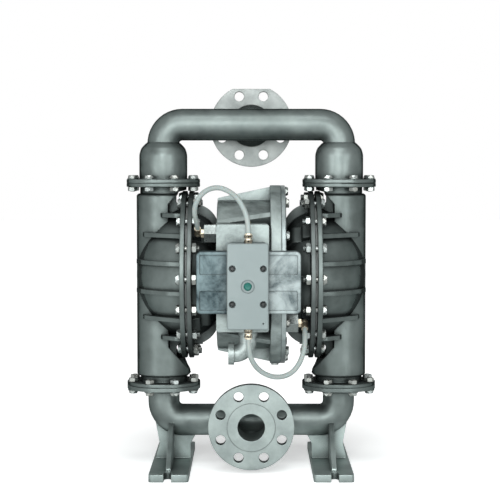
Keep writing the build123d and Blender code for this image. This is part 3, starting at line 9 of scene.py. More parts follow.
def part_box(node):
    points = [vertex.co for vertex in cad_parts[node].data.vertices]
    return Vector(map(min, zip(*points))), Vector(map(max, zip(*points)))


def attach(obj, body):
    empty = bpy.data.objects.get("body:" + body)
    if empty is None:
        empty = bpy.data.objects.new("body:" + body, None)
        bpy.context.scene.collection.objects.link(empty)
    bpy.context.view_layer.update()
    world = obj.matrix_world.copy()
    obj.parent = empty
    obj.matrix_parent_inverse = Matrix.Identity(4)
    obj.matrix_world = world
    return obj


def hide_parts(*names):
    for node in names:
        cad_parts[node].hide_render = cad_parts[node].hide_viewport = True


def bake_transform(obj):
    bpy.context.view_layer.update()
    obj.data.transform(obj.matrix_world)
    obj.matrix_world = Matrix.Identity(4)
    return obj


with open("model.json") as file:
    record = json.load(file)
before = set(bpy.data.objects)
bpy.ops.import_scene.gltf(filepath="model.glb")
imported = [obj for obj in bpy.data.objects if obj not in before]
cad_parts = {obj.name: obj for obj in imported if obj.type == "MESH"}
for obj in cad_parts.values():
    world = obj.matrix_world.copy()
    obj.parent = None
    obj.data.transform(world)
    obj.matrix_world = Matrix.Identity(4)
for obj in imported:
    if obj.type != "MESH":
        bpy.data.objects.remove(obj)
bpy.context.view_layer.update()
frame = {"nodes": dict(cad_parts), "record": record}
nodes = frame["nodes"]
scene = bpy.context.scene
scene.view_settings.view_transform = "Standard"
print("stage 1: pump loaded,", len(nodes), "nodes")

pipePlane = 0.032  # depth of the shaft, the columns and the two pipes
shaftHeight = 0.378

cameraSet = {
    "place": (0.0, -2.968, 0.588),
    "aim": (-0.0024, 0.032, 0.4256),
    "lens": 109.9,
    "sensor": 36,
    "clip": (0.05, 60),
}


def lookAlong(thing, place, aim):
    thing.location = place
    thing.rotation_euler = (Vector(aim) - Vector(place)).to_track_quat("-Z", "Y").to_euler()
    scene.collection.objects.link(thing)


def placeCamera(values):
    data = bpy.data.cameras.new("studioCamera")
    data.lens = values["lens"]
    data.sensor_width = values["sensor"]
    data.clip_start, data.clip_end = values["clip"]
    camera = bpy.data.objects.new("studioCamera", data)
    lookAlong(camera, values["place"], values["aim"])
    scene.camera = camera


placeCamera(cameraSet)

# signal hoses: smooth lines through the same points as the solid tubes
hoseSet = {
    "radius": 0.00475,
    "pointRadius": 0.01,  # small, because a point's own radius counts in the curve's box
    "lengths": {"upper": 0.235, "lower": 0.236},
    "upper": [
        (-0.0052, -0.198, 0.4682), (-0.0052, -0.198, 0.487), (-0.014, -0.187, 0.516),
        (-0.032, -0.174, 0.540), (-0.060, -0.160, 0.553), (-0.087, -0.146, 0.545),
        (-0.104, -0.136, 0.522), (-0.106, -0.126, 0.499), (-0.1012, -0.11074, 0.48432),
        (-0.1012, -0.09474, 0.47332),
    ],
    "lower": [
        (-0.0052, -0.198, 0.2752), (-0.0052, -0.198, 0.256), (0.002, -0.187, 0.231),
        (0.018, -0.173, 0.211), (0.044, -0.158, 0.1985), (0.072, -0.144, 0.202),
        (0.091, -0.133, 0.222), (0.100, -0.125, 0.250), (0.1012, -0.11074, 0.27168),
        (0.1012, -0.09474, 0.28268),
    ],
}


def makeHose(name, points):
    curve = bpy.data.curves.new(name, "CURVE")
    curve.dimensions = "3D"
    curve.bevel_depth = hoseSet["radius"] / hoseSet["pointRadius"]
    curve.bevel_resolution = 8
    curve.use_fill_caps = True
    spline = curve.splines.new("NURBS")
    spline.points.add(len(points) - 1)
    for spot, place in zip(spline.points, points):
        spot.co = (*place, 1)
        spot.radius = hoseSet["pointRadius"]
    spline.order_u = 3
    spline.use_endpoint_u = True
    spline.resolution_u = 12
    hose = bpy.data.objects.new(name, curve)
    scene.collection.objects.link(hose)
    return hose


hoses = {}
for which, length in hoseSet["lengths"].items():
    hose = makeHose(which + "SignalHose", hoseSet[which])
    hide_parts(which + "_signal_hose")
    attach(hose, "pump")
    hoses[which] = hose
print("stage 2: camera and hoses")


# shapes for the detailed pieces
def camelName(node):
    words = node.split("_")
    return words[0] + "".join(word.capitalize() for word in words[1:])


def meshOf(bm, name):
    mesh = bpy.data.meshes.new(name)
    bm.to_mesh(mesh)
    bm.free()
    return mesh


def addMesh(bm, mesh, matrix=Matrix.Identity(4)):
    moved = mesh.copy()
    moved.transform(matrix)
    bm.from_mesh(moved)
    bpy.data.meshes.remove(moved)


# shares of the distance from the axis to a corner
hexSet = {"corner": 0.42, "chamfer": 0.09, "inset": 0.09, "raised": 0.025}


def hexBar(flats, low, high, bothEnds=False):
    # hexagon bar with its corners turned off and a raised face on top
    bm = bmesh.new()
    reach = flats / math.sqrt(3)
    middle = (low + high) / 2
    bmesh.ops.create_cone(bm, cap_ends=True, segments=6, radius1=reach, radius2=reach, depth=high - low,
                          matrix=Matrix.Translation((0, 0, middle)))
    ends = [v for v in bm.verts if bothEnds or v.co.z > middle]
    bmesh.ops.bevel(bm, geom=ends, offset=reach * hexSet["corner"], affect="VERTICES", segments=1,
                    profile=0.5, material=-1)
    chamfer = reach * hexSet["chamfer"]
    for vert in bm.verts:
        if low + 1e-5 < vert.co.z < high - 1e-5:
            vert.co.z = high - chamfer if vert.co.z > middle else low + chamfer
    cap = max(bm.faces, key=lambda f: (round(f.calc_center_median().z, 5), f.calc_area()))
    bmesh.ops.inset_region(bm, faces=[cap], thickness=reach * hexSet["inset"],
                           depth=reach * hexSet["raised"])
    return bm


def turned(outline, sides):
    # outline is (radius, height) from the lower end on the axis to the upper one
    bm = bmesh.new()
    spots = [bm.verts.new((radius, 0, height)) for radius, height in outline]
    edges = [bm.edges.new(pair) for pair in zip(spots, spots[1:])]
    bmesh.ops.spin(bm, geom=spots + edges, axis=(0, 0, 1), cent=(0, 0, 0), dvec=(0, 0, 0),
                   angle=2 * math.pi, steps=sides, use_merge=True)
    bmesh.ops.remove_doubles(bm, verts=bm.verts, dist=1e-6)
    bmesh.ops.recalc_face_normals(bm, faces=bm.faces)
    return bm


def placePiece(mesh, name, node, body, smoothAngle=None):
    piece = bpy.data.objects.new(name, mesh)
    scene.collection.objects.link(piece)
    if smoothAngle:
        mesh.shade_smooth()
        mesh.set_sharp_from_angle(angle=math.radians(smoothAngle))
    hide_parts(node)
    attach(piece, body)
    return piece


# bolts, in metres: the seat of the head at 0, the head above it and the thread below
boltSet = {
    "joint": {"thread": 0.010, "flats": 0.016, "head": 0.0064, "nut": (-0.0245, -0.0165), "end": -0.0255},
    "clamp": {"thread": 0.012, "flats": 0.018, "head": 0.0075, "nut": (-0.0315, -0.0225), "end": -0.0375},
    "cover": {"thread": 0.010, "flats": 0.016, "head": 0.0064, "nut": None, "end": -0.020},
}
washerSet = {"rim": 0.56, "low": 0.00002, "edge": 0.0008, "top": 0.0012, "chamfer": 0.0005, "sides": 18}
threadSet = {"chamfer": (0.0010, 0.0008), "pitch": 0.0014, "depth": 0.0006, "intoNut": 0.002, "sides": 12}
boltGaps = {"underHead": 0.0010, "overHead": 0.0003, "seat": 0.0001}


def makeBolt(values):
    bm = bmesh.new()
    radius = values["thread"] / 2
    rim = values["flats"] * washerSet["rim"]
    low, edge, top = washerSet["low"], washerSet["edge"], washerSet["top"]
    parts = [
        hexBar(values["flats"], boltGaps["underHead"], values["head"] - boltGaps["overHead"]),
        turned([(0, low), (rim, low), (rim, edge), (rim - washerSet["chamfer"], top), (0, top)],
               washerSet["sides"]),
    ]
    inward, upward = threadSet["chamfer"]
    outline = [(0, values["end"]), (radius - inward, values["end"])]
    height = values["end"] + upward
    if values["nut"]:
        low, high = values["nut"]
        parts.append(hexBar(values["flats"], low, high - boltGaps["seat"], True))
        while height < low + threadSet["intoNut"]:
            outline += [(radius, height), (radius - threadSet["depth"], height + threadSet["pitch"] / 2)]
            height += threadSet["pitch"]
    outline += [(radius, height), (radius, -boltGaps["seat"]), (0, -boltGaps["seat"])]
    parts.append(turned(outline, threadSet["sides"]))
    for part in parts:
        addMesh(bm, meshOf(part, "boltPart"))
    return meshOf(bm, "bolt")


boltRings = [
    # node, kind, middle of the ring of seats, axis, circle, count, first angle
    ("left_lower_joint_bolts", "joint", (-0.1725, pipePlane, 0.152), "-Z", 0.0635, 8, 22.5),
    ("right_lower_joint_bolts", "joint", (0.1725, pipePlane, 0.152), "-Z", 0.0635, 8, 22.5),
    ("left_upper_joint_bolts", "joint", (-0.1725, pipePlane, 0.5665), "Z", 0.0635, 8, 22.5),
    ("right_upper_joint_bolts", "joint", (0.1725, pipePlane, 0.5665), "Z", 0.0635, 8, 22.5),
    ("left_clamp_bolts", "clamp", (-0.1345, pipePlane, shaftHeight), "-X", 0.151, 16, 0),
    ("right_clamp_bolts", "clamp", (0.1345, pipePlane, shaftHeight), "X", 0.151, 16, 0),
    ("centre_cover_bolts", "cover", (0.066, pipePlane, shaftHeight), "X", 0.163, 12, 0),
]
ringTurn = {
    "Z": Matrix.Identity(4),
    "-Z": Matrix.Rotation(math.pi, 4, "X"),
    "X": Matrix.Rotation(math.pi / 2, 4, "Y"),
    "-X": Matrix.Rotation(-math.pi / 2, 4, "Y"),
}


def makeBoltRing(node, kind, middle, axis, circle, count, first):
    bolt = makeBolt(boltSet[kind])
    bm = bmesh.new()
    for step in range(count):
        angle = math.radians(first + 360 * step / count)
        if "Z" in axis:
            shift = Vector((math.cos(angle), math.sin(angle), 0)) * circle
        else:
            shift = Vector((0, math.cos(angle), math.sin(angle))) * circle
        turn = Matrix.Rotation(angle, 4, axis[-1])
        addMesh(bm, bolt, Matrix.Translation(Vector(middle) + shift) @ turn @ ringTurn[axis])
    name = camelName(node)
    return placePiece(meshOf(bm, name), name, node, "pump", 28)


boltPieces = [makeBoltRing(*ring) for ring in boltRings]

screwSet = {
    "head": 0.006,
    "tall": 0.006,
    "rim": 0.0009,
    "hex": 0.0034,
    "socket": 0.0034,
    "shank": 0.0035,
    "lead": ((1.14, 0), (1.0, 0.0005)),  # chamfer into the socket: share of the hexagon, depth
    "ring": 0.0002,
    "sides": 36,
    "turns": (9, 5),  # each screw stands at its own angle, from its place
}


def makeScrew(values, length):
    # socket screw: turned rim, chamfer down into the hexagon socket, wall and shank
    bm = bmesh.new()
    sides = values["sides"]
    ring = bmesh.ops.create_circle(bm, cap_ends=True, segments=sides, radius=values["head"])["verts"]
    top = ring[0].link_faces[0]
    bmesh.ops.inset_region(bm, faces=[top], thickness=values["rim"])
    bmesh.ops.translate(bm, verts=ring, vec=(0, 0, -values["rim"]))
    for reach, drop in values["lead"]:
        bmesh.ops.inset_region(bm, faces=[top], thickness=values["ring"])
        for vert in top.verts:
            angle = math.atan2(vert.co.y, vert.co.x)
            flat = math.cos((angle % (math.pi / 3)) - math.pi / 6)
            vert.co = Vector((math.cos(angle), math.sin(angle), 0)) * values["hex"] * reach / flat
            vert.co.z = -drop
    floor = bmesh.ops.extrude_face_region(bm, geom=[top])["geom"]
    bmesh.ops.delete(bm, geom=[top], context="FACES_ONLY")
    bmesh.ops.translate(bm, verts=[v for v in floor if isinstance(v, bmesh.types.BMVert)],
                        vec=(0, 0, -values["socket"]))
    for reach, drop in ((1, values["tall"] - values["rim"]), (values["shank"] / values["head"], 0),
                        (1, length - values["tall"])):
        wall = [e for e in bm.edges if e.is_boundary]
        lower = [v for v in bmesh.ops.extrude_edge_only(bm, edges=wall)["geom"]
                 if isinstance(v, bmesh.types.BMVert)]
        bmesh.ops.scale(bm, verts=lower, vec=(reach, reach, 1))
        bmesh.ops.translate(bm, verts=lower, vec=(0, 0, -drop))
    bmesh.ops.holes_fill(bm, edges=[e for e in bm.edges if e.is_boundary], sides=sides)
    bmesh.ops.recalc_face_normals(bm, faces=bm.faces)
    return meshOf(bm, "socketScrew")


def makeCoverScrews():
    low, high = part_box("cover_screws")
    screw = makeScrew(screwSet, high[1] - low[1])
    bm = bmesh.new()
    inset = screwSet["head"]
    alongX, alongZ = screwSet["turns"]
    for x in (low[0] + inset, high[0] - inset):
        for z in (low[2] + inset, high[2] - inset):
            own = Matrix.Rotation(alongX * x + alongZ * z, 4, "Z")
            turn = Matrix.Rotation(math.pi / 2, 4, "X") @ own
            addMesh(bm, screw, Matrix.Translation((x, low[1], z)) @ turn)
    return placePiece(meshOf(bm, "coverScrews"), "coverScrews", "cover_screws", "pump", 35)


buttonSet = {"cap": 0.0072, "shoulder": 0.0025, "lip": 0.0011, "dish": 0.0009, "round": 0.0008,
             "slope": 0.0012, "sides": 48}


def makeButton(values):
    # turned cap with a dished face, and the shoulder that holds it in the cover
    low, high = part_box("override_button")
    wide = (high[0] - low[0]) / 2
    depth = high[1] - low[1]
    cap, lip, dish = values["cap"], values["lip"], values["dish"]
    corner, slope = values["round"], values["slope"]
    outline = [
        (0, 0), (wide, 0), (wide, values["shoulder"]), (cap, values["shoulder"]), (cap, depth - corner),
        (cap - corner / 4, depth - corner * 3 / 8), (cap - corner * 3 / 4, depth), (cap - lip, depth),
        (cap - lip - slope / 3, depth - dish * 3 / 5), (cap - lip - slope, depth - dish), (0, depth - dish),
    ]
    mesh = meshOf(turned(outline, values["sides"]), "overrideButton")
    place = ((low[0] + high[0]) / 2, high[1], (low[2] + high[2]) / 2)
    mesh.transform(Matrix.Translation(place) @ Matrix.Rotation(math.pi / 2, 4, "X"))
    return placePiece(mesh, "overrideButton", "override_button", "override_button", 40)


springSet = {"wire": 0.0005, "turns": 4, "steps": 20, "sides": 10}


def makeSpring(values):
    # coil between the valve body and the button
    low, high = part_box("button_spring")
    wire = values["wire"]
    coil = (high[0] - low[0]) / 2 - wire
    length = high[1] - low[1]
    steps = values["turns"] * values["steps"]
    bm = bmesh.new()
    upright = Matrix.Rotation(math.pi / 2, 4, "X")
    bmesh.ops.create_circle(bm, segments=values["sides"], radius=wire,
                            matrix=Matrix.Translation((coil, 0, wire)) @ upright)
    bmesh.ops.spin(bm, geom=bm.verts[:] + bm.edges[:], axis=(0, 0, 1), cent=(0, 0, 0),
                   dvec=(0, 0, (length - 2 * wire) / steps), angle=2 * math.pi * values["turns"],
                   steps=steps, use_merge=False)
    bmesh.ops.holes_fill(bm, edges=[e for e in bm.edges if e.is_boundary], sides=values["sides"])
    bmesh.ops.recalc_face_normals(bm, faces=bm.faces)
    mesh = meshOf(bm, "buttonSpring")
    inner = Vector(((low[0] + high[0]) / 2, high[1], (low[2] + high[2]) / 2))
    mesh.transform(Matrix.Translation(inner) @ upright)
    mesh.shade_smooth()
    mesh.set_sharp_from_angle(angle=math.radians(50))
    spring = bpy.data.objects.new("buttonSpring", mesh)
    scene.collection.objects.link(spring)
    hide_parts("button_spring")
    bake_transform(spring)
    return spring


fittingSet = {
    "flats": 0.015,
    "hex": 0.007,
    "seat": 0.007,  # the thread is below this height
    "between": 0.002,
    "overlap": 0.0005,
    "waist": 0.0055,
    "groove": (0.0004, 0.001),
    "thread": 0.0049,
    "threadChamfer": 0.0006,
    "sleeve": 0.0063,
    "round": 0.001,
    "bore": 0.0049,
    "boreDepth": 0.001,
    "sides": 24,
    "sleeveSides": 32,
}


def makeFitting(values, node, side):
    # straight tube fitting: thread, body hexagon, waist, nut and a rounded sleeve round the hose
    low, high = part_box(node)
    length = high[2] - low[2]
    seat, hexTall, sleeve = values["seat"], values["hex"], values["sleeve"]
    thread, chamfer, waist = values["thread"], values["threadChamfer"], values["waist"]
    first = seat + hexTall
    second = first + values["between"]
    inward, upward = values["groove"]
    bore, hollow = values["bore"], length - values["boreDepth"]
    corner, sides = values["round"], values["sides"]
    bm = bmesh.new()
    parts = [
        turned([(0, 0), (thread - chamfer, 0), (thread, chamfer), (thread, seat), (0, seat)], sides),
        hexBar(values["flats"], seat, first, True),
        turned([(0, first - values["overlap"]), (waist, first - values["overlap"]),
                (waist - inward, first + upward), (waist, second + values["overlap"]),
                (0, second + values["overlap"])], sides),
        hexBar(values["flats"], second, second + hexTall, True),
        turned([(0, second), (sleeve, second), (sleeve, length - 0.6 * corner),
                (sleeve - 0.4 * corner, length - 0.1 * corner), (sleeve - corner, length), (bore, length),
                (bore, hollow), (0, hollow)], values["sleeveSides"]),
    ]
    for part in parts:
        addMesh(bm, meshOf(part, "fittingPart"))
    name = camelName(node)
    mesh = meshOf(bm, name)
    middle = ((low[0] + high[0]) / 2, (low[1] + high[1]) / 2, low[2] if side > 0 else high[2])
    turn = Matrix.Identity(4) if side > 0 else Matrix.Rotation(math.pi, 4, "X")
    mesh.transform(Matrix.Translation(middle) @ turn)
    return placePiece(mesh, name, node, "pump", 30)


coverScrews = makeCoverScrews()
overrideButton = makeButton(buttonSet)
buttonSpring = makeSpring(springSet)
fittings = [makeFitting(fittingSet, "top_hose_fitting", 1),
            makeFitting(fittingSet, "bottom_hose_fitting", -1)]
print("stage 3: bolts, screws, button, spring and fittings")


# finishes
def startMaterial(name):
    material = bpy.data.materials.new(name)
    material.use_nodes = True
    tree = material.node_tree
    place = tree.nodes.new("ShaderNodeTexCoord").outputs["Object"]
    return material, tree, tree.nodes["Principled BSDF"], place


def noiseOf(tree, place, scale, detail=3, roughness=0.55, distortion=0):
    node = tree.nodes.new("ShaderNodeTexNoise")
    node.inputs["Scale"].default_value = scale
    node.inputs["Detail"].default_value = detail
    node.inputs["Roughness"].default_value = roughness
    node.inputs["Distortion"].default_value = distortion
    tree.links.new(place, node.inputs["Vector"])
    return node.outputs["Fac"]


def rangeOf(tree, value, fromLow, fromHigh, toLow, toHigh):
    node = tree.nodes.new("ShaderNodeMapRange")
    for key, number in zip(("From Min", "From Max", "To Min", "To Max"),
                           (fromLow, fromHigh, toLow, toHigh)):
        node.inputs[key].default_value = number
    tree.links.new(value, node.inputs["Value"])
    return node.outputs["Result"]


def blendOf(tree, amount, first, second, mode="MIX"):
    node = tree.nodes.new("ShaderNodeMix")
    node.data_type = "RGBA"
    node.blend_type = mode
    if isinstance(amount, (int, float)):
        node.inputs["Factor"].default_value = amount
    else:
        tree.links.new(amount, node.inputs["Factor"])
    for key, side in (("A", first), ("B", second)):
        socket = [s for s in node.inputs if s.name == key and s.type == "RGBA"][0]
        if isinstance(side, (tuple, list)):
            socket.default_value = (*side, 1)
        else:
            tree.links.new(side, socket)
    return [s for s in node.outputs if s.type == "RGBA"][0]


def mathOf(tree, what, first, second):
    node = tree.nodes.new("ShaderNodeMath")
    node.operation = what
    for socket, value in zip(node.inputs, (first, second)):
        if isinstance(value, (int, float)):
            socket.default_value = value
        else:
            tree.links.new(value, socket)
    return node.outputs[0]


def softEdge(tree, radius):
    bevel = tree.nodes.new("ShaderNodeBevel")
    bevel.samples = 4
    bevel.inputs["Radius"].default_value = radius
    return bevel.outputs["Normal"]


def edgeWearAndHighlight(tree, radius, low, high):
    # how far the softened normal leans away from the true one: high along edges; it lightens edges as wear
    # and as painted highlight
    dot = tree.nodes.new("ShaderNodeVectorMath")
    dot.operation = "DOT_PRODUCT"
    tree.links.new(softEdge(tree, radius), dot.inputs[0])
    tree.links.new(tree.nodes.new("ShaderNodeNewGeometry").outputs["Normal"], dot.inputs[1])
    return rangeOf(tree, dot.outputs["Value"], high, low, 0, 1)


paintedCreviceRange = (0.25, 0.85)  # share of open sky at which the shade is full, and gone


def paintedCreviceShade(tree, colour, reach, depth):
    # painted shade: corners and recesses are darkened in the base colour by ambient occlusion
    node = tree.nodes.new("ShaderNodeAmbientOcclusion")
    node.samples = 6
    node.inputs["Distance"].default_value = reach
    shade = rangeOf(tree, node.outputs["AO"], *paintedCreviceRange, depth, 1)
    return blendOf(tree, 1, colour, shade, "MULTIPLY")


def finishSurface(tree, shader, heights, edge=0.0):
    # heights are (value, strength, distance) from coarse to fine, over a softened edge
    normal = softEdge(tree, edge) if edge else None
    for value, strength, distance in heights:
        bump = tree.nodes.new("ShaderNodeBump")
        bump.inputs["Strength"].default_value = strength
        bump.inputs["Distance"].default_value = distance
        tree.links.new(value, bump.inputs["Height"])
        if normal:
            tree.links.new(normal, bump.inputs["Normal"])
        normal = bump.outputs["Normal"]
    tree.links.new(normal, shader.inputs["Normal"])


def setShine(shader, metal, specular, tint):
    shader.inputs["Metallic"].default_value = metal
    shader.inputs["Specular IOR Level"].default_value = specular
    shader.inputs["Specular Tint"].default_value = (*tint, 1)


steelSet = {
    "patch": (9, 4, 0.6),  # scale, detail, roughness
    "patchRange": (0.35, 0.68),
    "streak": (45, 3),
    "streakRange": (0.3, 0.7),
    "streakShare": 0.25,
    "stain": (26, 5, 0.65),
    "stainRange": (0.35, 0.7),
    # edge wear and painted highlight: a lighter colour along edges
    "wear": (0.0012, 0.75, 0.95),
    "wearAndHighlightShare": 0.6,
    "worn": (0.26, 0.31, 0.30),
    "facedReach": 0.084,
    "metal": 0.8,
    "specular": 0.0,
    "roughness": (0.38, 0.47),
    "edge": 0.0022,
    # reach and depth of the painted shade in corners and recesses
    "paintedCreviceShade": (0.025, 0.25),
    "wave": (30, 2),
    "waveBump": (0.25, 0.002),
    "grain": (900, 2),
    "grainBump": (0.18, 0.0003),
}
inletFace = {"from": -0.20, "to": -0.0652, "bright": (0.24, 0.28, 0.27), "stained": (0.17, 0.20, 0.195)}
# painted light: the feet are made paler towards the floor, between these heights
inletFeetPaintedLight = {"from": 0.092, "to": 0.070, "gain": (2.1, 2.1, 2.1)}
dischargeFace = {"from": 0.1088, "to": 0.14, "bright": (0.165, 0.180, 0.175),
                 "stained": (0.110, 0.122, 0.119)}


def castSteel(name, dark, light, faced=None, rim=0.05, feetPaintedLight=None):
    # bead-blasted casting; the flange is turned bright between two depths along Y, and the feet get painted
    # light, paler towards the floor
    material, tree, shader, place = startMaterial(name)
    patch = rangeOf(tree, noiseOf(tree, place, *steelSet["patch"]), *steelSet["patchRange"], 0, 1)
    streak = rangeOf(tree, noiseOf(tree, place, *steelSet["streak"]), *steelSet["streakRange"], 0, 1)
    colour = blendOf(tree, patch, dark, light)
    colour = blendOf(tree, mathOf(tree, "MULTIPLY", streak, steelSet["streakShare"]), colour, light)
    # edges lightened as wear and as painted highlight
    wear = mathOf(tree, "MULTIPLY", edgeWearAndHighlight(tree, *steelSet["wear"]), steelSet["wearAndHighlightShare"])
    colour = blendOf(tree, wear, colour, steelSet["worn"])
    if feetPaintedLight or faced:
        axes = tree.nodes.new("ShaderNodeSeparateXYZ")
        tree.links.new(place, axes.inputs[0])
    # painted light: the colour is made paler towards the floor
    if feetPaintedLight:
        down = rangeOf(tree, axes.outputs["Z"], feetPaintedLight["from"], feetPaintedLight["to"], 0, 1)
        colour = blendOf(tree, down, colour, feetPaintedLight["gain"], "MULTIPLY")
    if faced:
        after = mathOf(tree, "GREATER_THAN", axes.outputs["Y"], faced["from"])
        before = mathOf(tree, "LESS_THAN", axes.outputs["Y"], faced["to"])
        inside = mathOf(tree, "COMPARE", axes.outputs["X"], 0)
        inside.node.inputs[2].default_value = steelSet["facedReach"]
        zone = mathOf(tree, "MULTIPLY", mathOf(tree, "MULTIPLY", after, before), inside)
        stain = rangeOf(tree, noiseOf(tree, place, *steelSet["stain"]), *steelSet["stainRange"], 0, 1)
        bright = blendOf(tree, stain, faced["bright"], faced["stained"])
        colour = blendOf(tree, zone, colour, bright)
    # painted shade in corners and recesses
    colour = paintedCreviceShade(tree, colour, *steelSet["paintedCreviceShade"])
    tree.links.new(colour, shader.inputs["Base Color"])
    tree.links.new(rangeOf(tree, streak, 0, 1, *steelSet["roughness"]), shader.inputs["Roughness"])
    setShine(shader, steelSet["metal"], steelSet["specular"], (rim, rim, rim))
    wave = noiseOf(tree, place, *steelSet["wave"])
    grain = noiseOf(tree, place, *steelSet["grain"])
    finishSurface(tree, shader, [(wave, *steelSet["waveBump"]), (grain, *steelSet["grainBump"])],
                  steelSet["edge"])
    return material


aluminiumSet = {
    "dark": (0.14, 0.165, 0.162),
    "light": (0.30, 0.35, 0.34),
    # edge wear and painted highlight: a lighter colour along edges
    "worn": (0.38, 0.43, 0.42),
    "wearAndHighlightShare": 0.4,
    "metal": 0.5,
    "specular": 0.0,
    "tint": (0.1, 0.12, 0.12),
    "roughness": (0.34, 0.50),
    "edge": 0.0016,
    # reach and depth of the painted shade in corners and recesses
    "paintedCreviceShade": (0.02, 0.3),
    "cloud": (6, 0.62, 0.8),  # detail, roughness, distortion
    "speck": (160, 3),
    "speckRange": (0.35, 0.7),
    "speckShare": 0.3,
    "wear": (0.001, 0.75, 0.95),
    # where the painted shade on the left side fades out along X
    "paintedLeftRange": (-0.07, 0.03),
    "wave": (40, 3),
    "waveBump": (0.35, 0.0015),
    "grain": (700, 2),
    "grainBump": (0.2, 0.0003),
}


def castAluminium(name, dark, light, patchScale=16, contrast=(0.38, 0.64), shift=(0, 0, 0),
                  paintedLeftShade=None):
    # as cast, with the cloudy flow marks of a die casting
    material, tree, shader, unmoved = startMaterial(name)
    place = unmoved
    if any(shift):
        mapping = tree.nodes.new("ShaderNodeMapping")
        mapping.inputs["Location"].default_value = shift
        tree.links.new(unmoved, mapping.inputs["Vector"])
        place = mapping.outputs["Vector"]
    cloud = rangeOf(tree, noiseOf(tree, place, patchScale, *aluminiumSet["cloud"]), *contrast, 0, 1)
    speck = rangeOf(tree, noiseOf(tree, place, *aluminiumSet["speck"]), *aluminiumSet["speckRange"], 0, 1)
    colour = blendOf(tree, cloud, dark, light)
    colour = blendOf(tree, mathOf(tree, "MULTIPLY", speck, aluminiumSet["speckShare"]), colour, light)
    # painted shade: the colour is darkened towards the left side
    if paintedLeftShade:
        axes = tree.nodes.new("ShaderNodeSeparateXYZ")
        tree.links.new(unmoved, axes.inputs[0])
        side = rangeOf(tree, axes.outputs["X"], *aluminiumSet["paintedLeftRange"], 1, 0)
        colour = blendOf(tree, side, colour, paintedLeftShade, "MULTIPLY")
    # edges lightened as wear and as painted highlight
    wear = mathOf(tree, "MULTIPLY", edgeWearAndHighlight(tree, *aluminiumSet["wear"]), aluminiumSet["wearAndHighlightShare"])
    colour = blendOf(tree, wear, colour, aluminiumSet["worn"])
    # painted shade in corners and recesses
    colour = paintedCreviceShade(tree, colour, *aluminiumSet["paintedCreviceShade"])
    tree.links.new(colour, shader.inputs["Base Color"])
    tree.links.new(rangeOf(tree, cloud, 0, 1, *aluminiumSet["roughness"]), shader.inputs["Roughness"])
    setShine(shader, aluminiumSet["metal"], aluminiumSet["specular"], aluminiumSet["tint"])
    wave = noiseOf(tree, place, *aluminiumSet["wave"])
    grain = noiseOf(tree, place, *aluminiumSet["grain"])
    finishSurface(tree, shader, [(wave, *aluminiumSet["waveBump"]), (grain, *aluminiumSet["grainBump"])],
                  aluminiumSet["edge"])
    return material


# crevice holds reach and depth of the painted shade in corners and recesses
metalSet = {"shift": (22, 2), "shiftRange": (0.4, 0.62), "paintedCreviceShade": (0.006, 0.35), "grainRange": (0.3, 0.7),
            "spread": (0.8, 1.25), "bumpDistance": 0.0002}


def plainMetal(name, colour, tint, metal=1.0, roughness=0.28, grainScale=400, edge=0.0006, bumpy=0.1,
               specular=0.3, rim=(0.5, 0.5, 0.5)):
    material, tree, shader, place = startMaterial(name)
    shift = rangeOf(tree, noiseOf(tree, place, *metalSet["shift"]), *metalSet["shiftRange"], 0, 1)
    # painted shade in corners and recesses
    mixed = paintedCreviceShade(tree, blendOf(tree, shift, colour, tint), *metalSet["paintedCreviceShade"])
    tree.links.new(mixed, shader.inputs["Base Color"])
    setShine(shader, metal, specular, rim)
    grain = noiseOf(tree, place, grainScale, 3)
    low, high = (roughness * share for share in metalSet["spread"])
    tree.links.new(rangeOf(tree, grain, *metalSet["grainRange"], low, high), shader.inputs["Roughness"])
    finishSurface(tree, shader, [(grain, bumpy, metalSet["bumpDistance"])], edge)
    return material


polymerSet = {"shift": (30, 3), "shiftRange": (0.35, 0.7), "grain": (600, 2), "grainRange": (0.3, 0.7),
              "spread": (0.9, 1.1), "specular": 0.3, "softDepth": 0.004, "bump": (0.08, 0.0002),
              "edge": 0.0004}


def plainPolymer(name, colour, tint, roughness=0.45, coat=0.0, soft=0.0):
    material, tree, shader, place = startMaterial(name)
    shift = rangeOf(tree, noiseOf(tree, place, *polymerSet["shift"]), *polymerSet["shiftRange"], 0, 1)
    tree.links.new(blendOf(tree, shift, colour, tint), shader.inputs["Base Color"])
    grain = noiseOf(tree, place, *polymerSet["grain"])
    low, high = (roughness * share for share in polymerSet["spread"])
    tree.links.new(rangeOf(tree, grain, *polymerSet["grainRange"], low, high), shader.inputs["Roughness"])
    shader.inputs["Specular IOR Level"].default_value = polymerSet["specular"]
    shader.inputs["Coat Weight"].default_value = coat
    shader.inputs["Subsurface Weight"].default_value = soft
    shader.inputs["Subsurface Scale"].default_value = polymerSet["softDepth"]
    finishSurface(tree, shader, [(grain, *polymerSet["bump"])], polymerSet["edge"])
    return material


castDark = (0.074, 0.089, 0.086)
castLight = (0.150, 0.177, 0.171)
finishes = {}


def addFinish(maker, name, *values, **more):
    finishes[name] = maker(name, *values, **more)


addFinish(castSteel, "inletSteel", castDark, castLight, inletFace, 0.3, inletFeetPaintedLight)
addFinish(castSteel, "dischargeSteel", castDark, castLight, dischargeFace)
addFinish(castSteel, "chamberSteel", (0.062, 0.075, 0.072), (0.128, 0.152, 0.147))
addFinish(castSteel, "airSteel", (0.055, 0.064, 0.062), (0.100, 0.116, 0.113))
addFinish(castAluminium, "housingAluminium", aluminiumSet["dark"], aluminiumSet["light"])
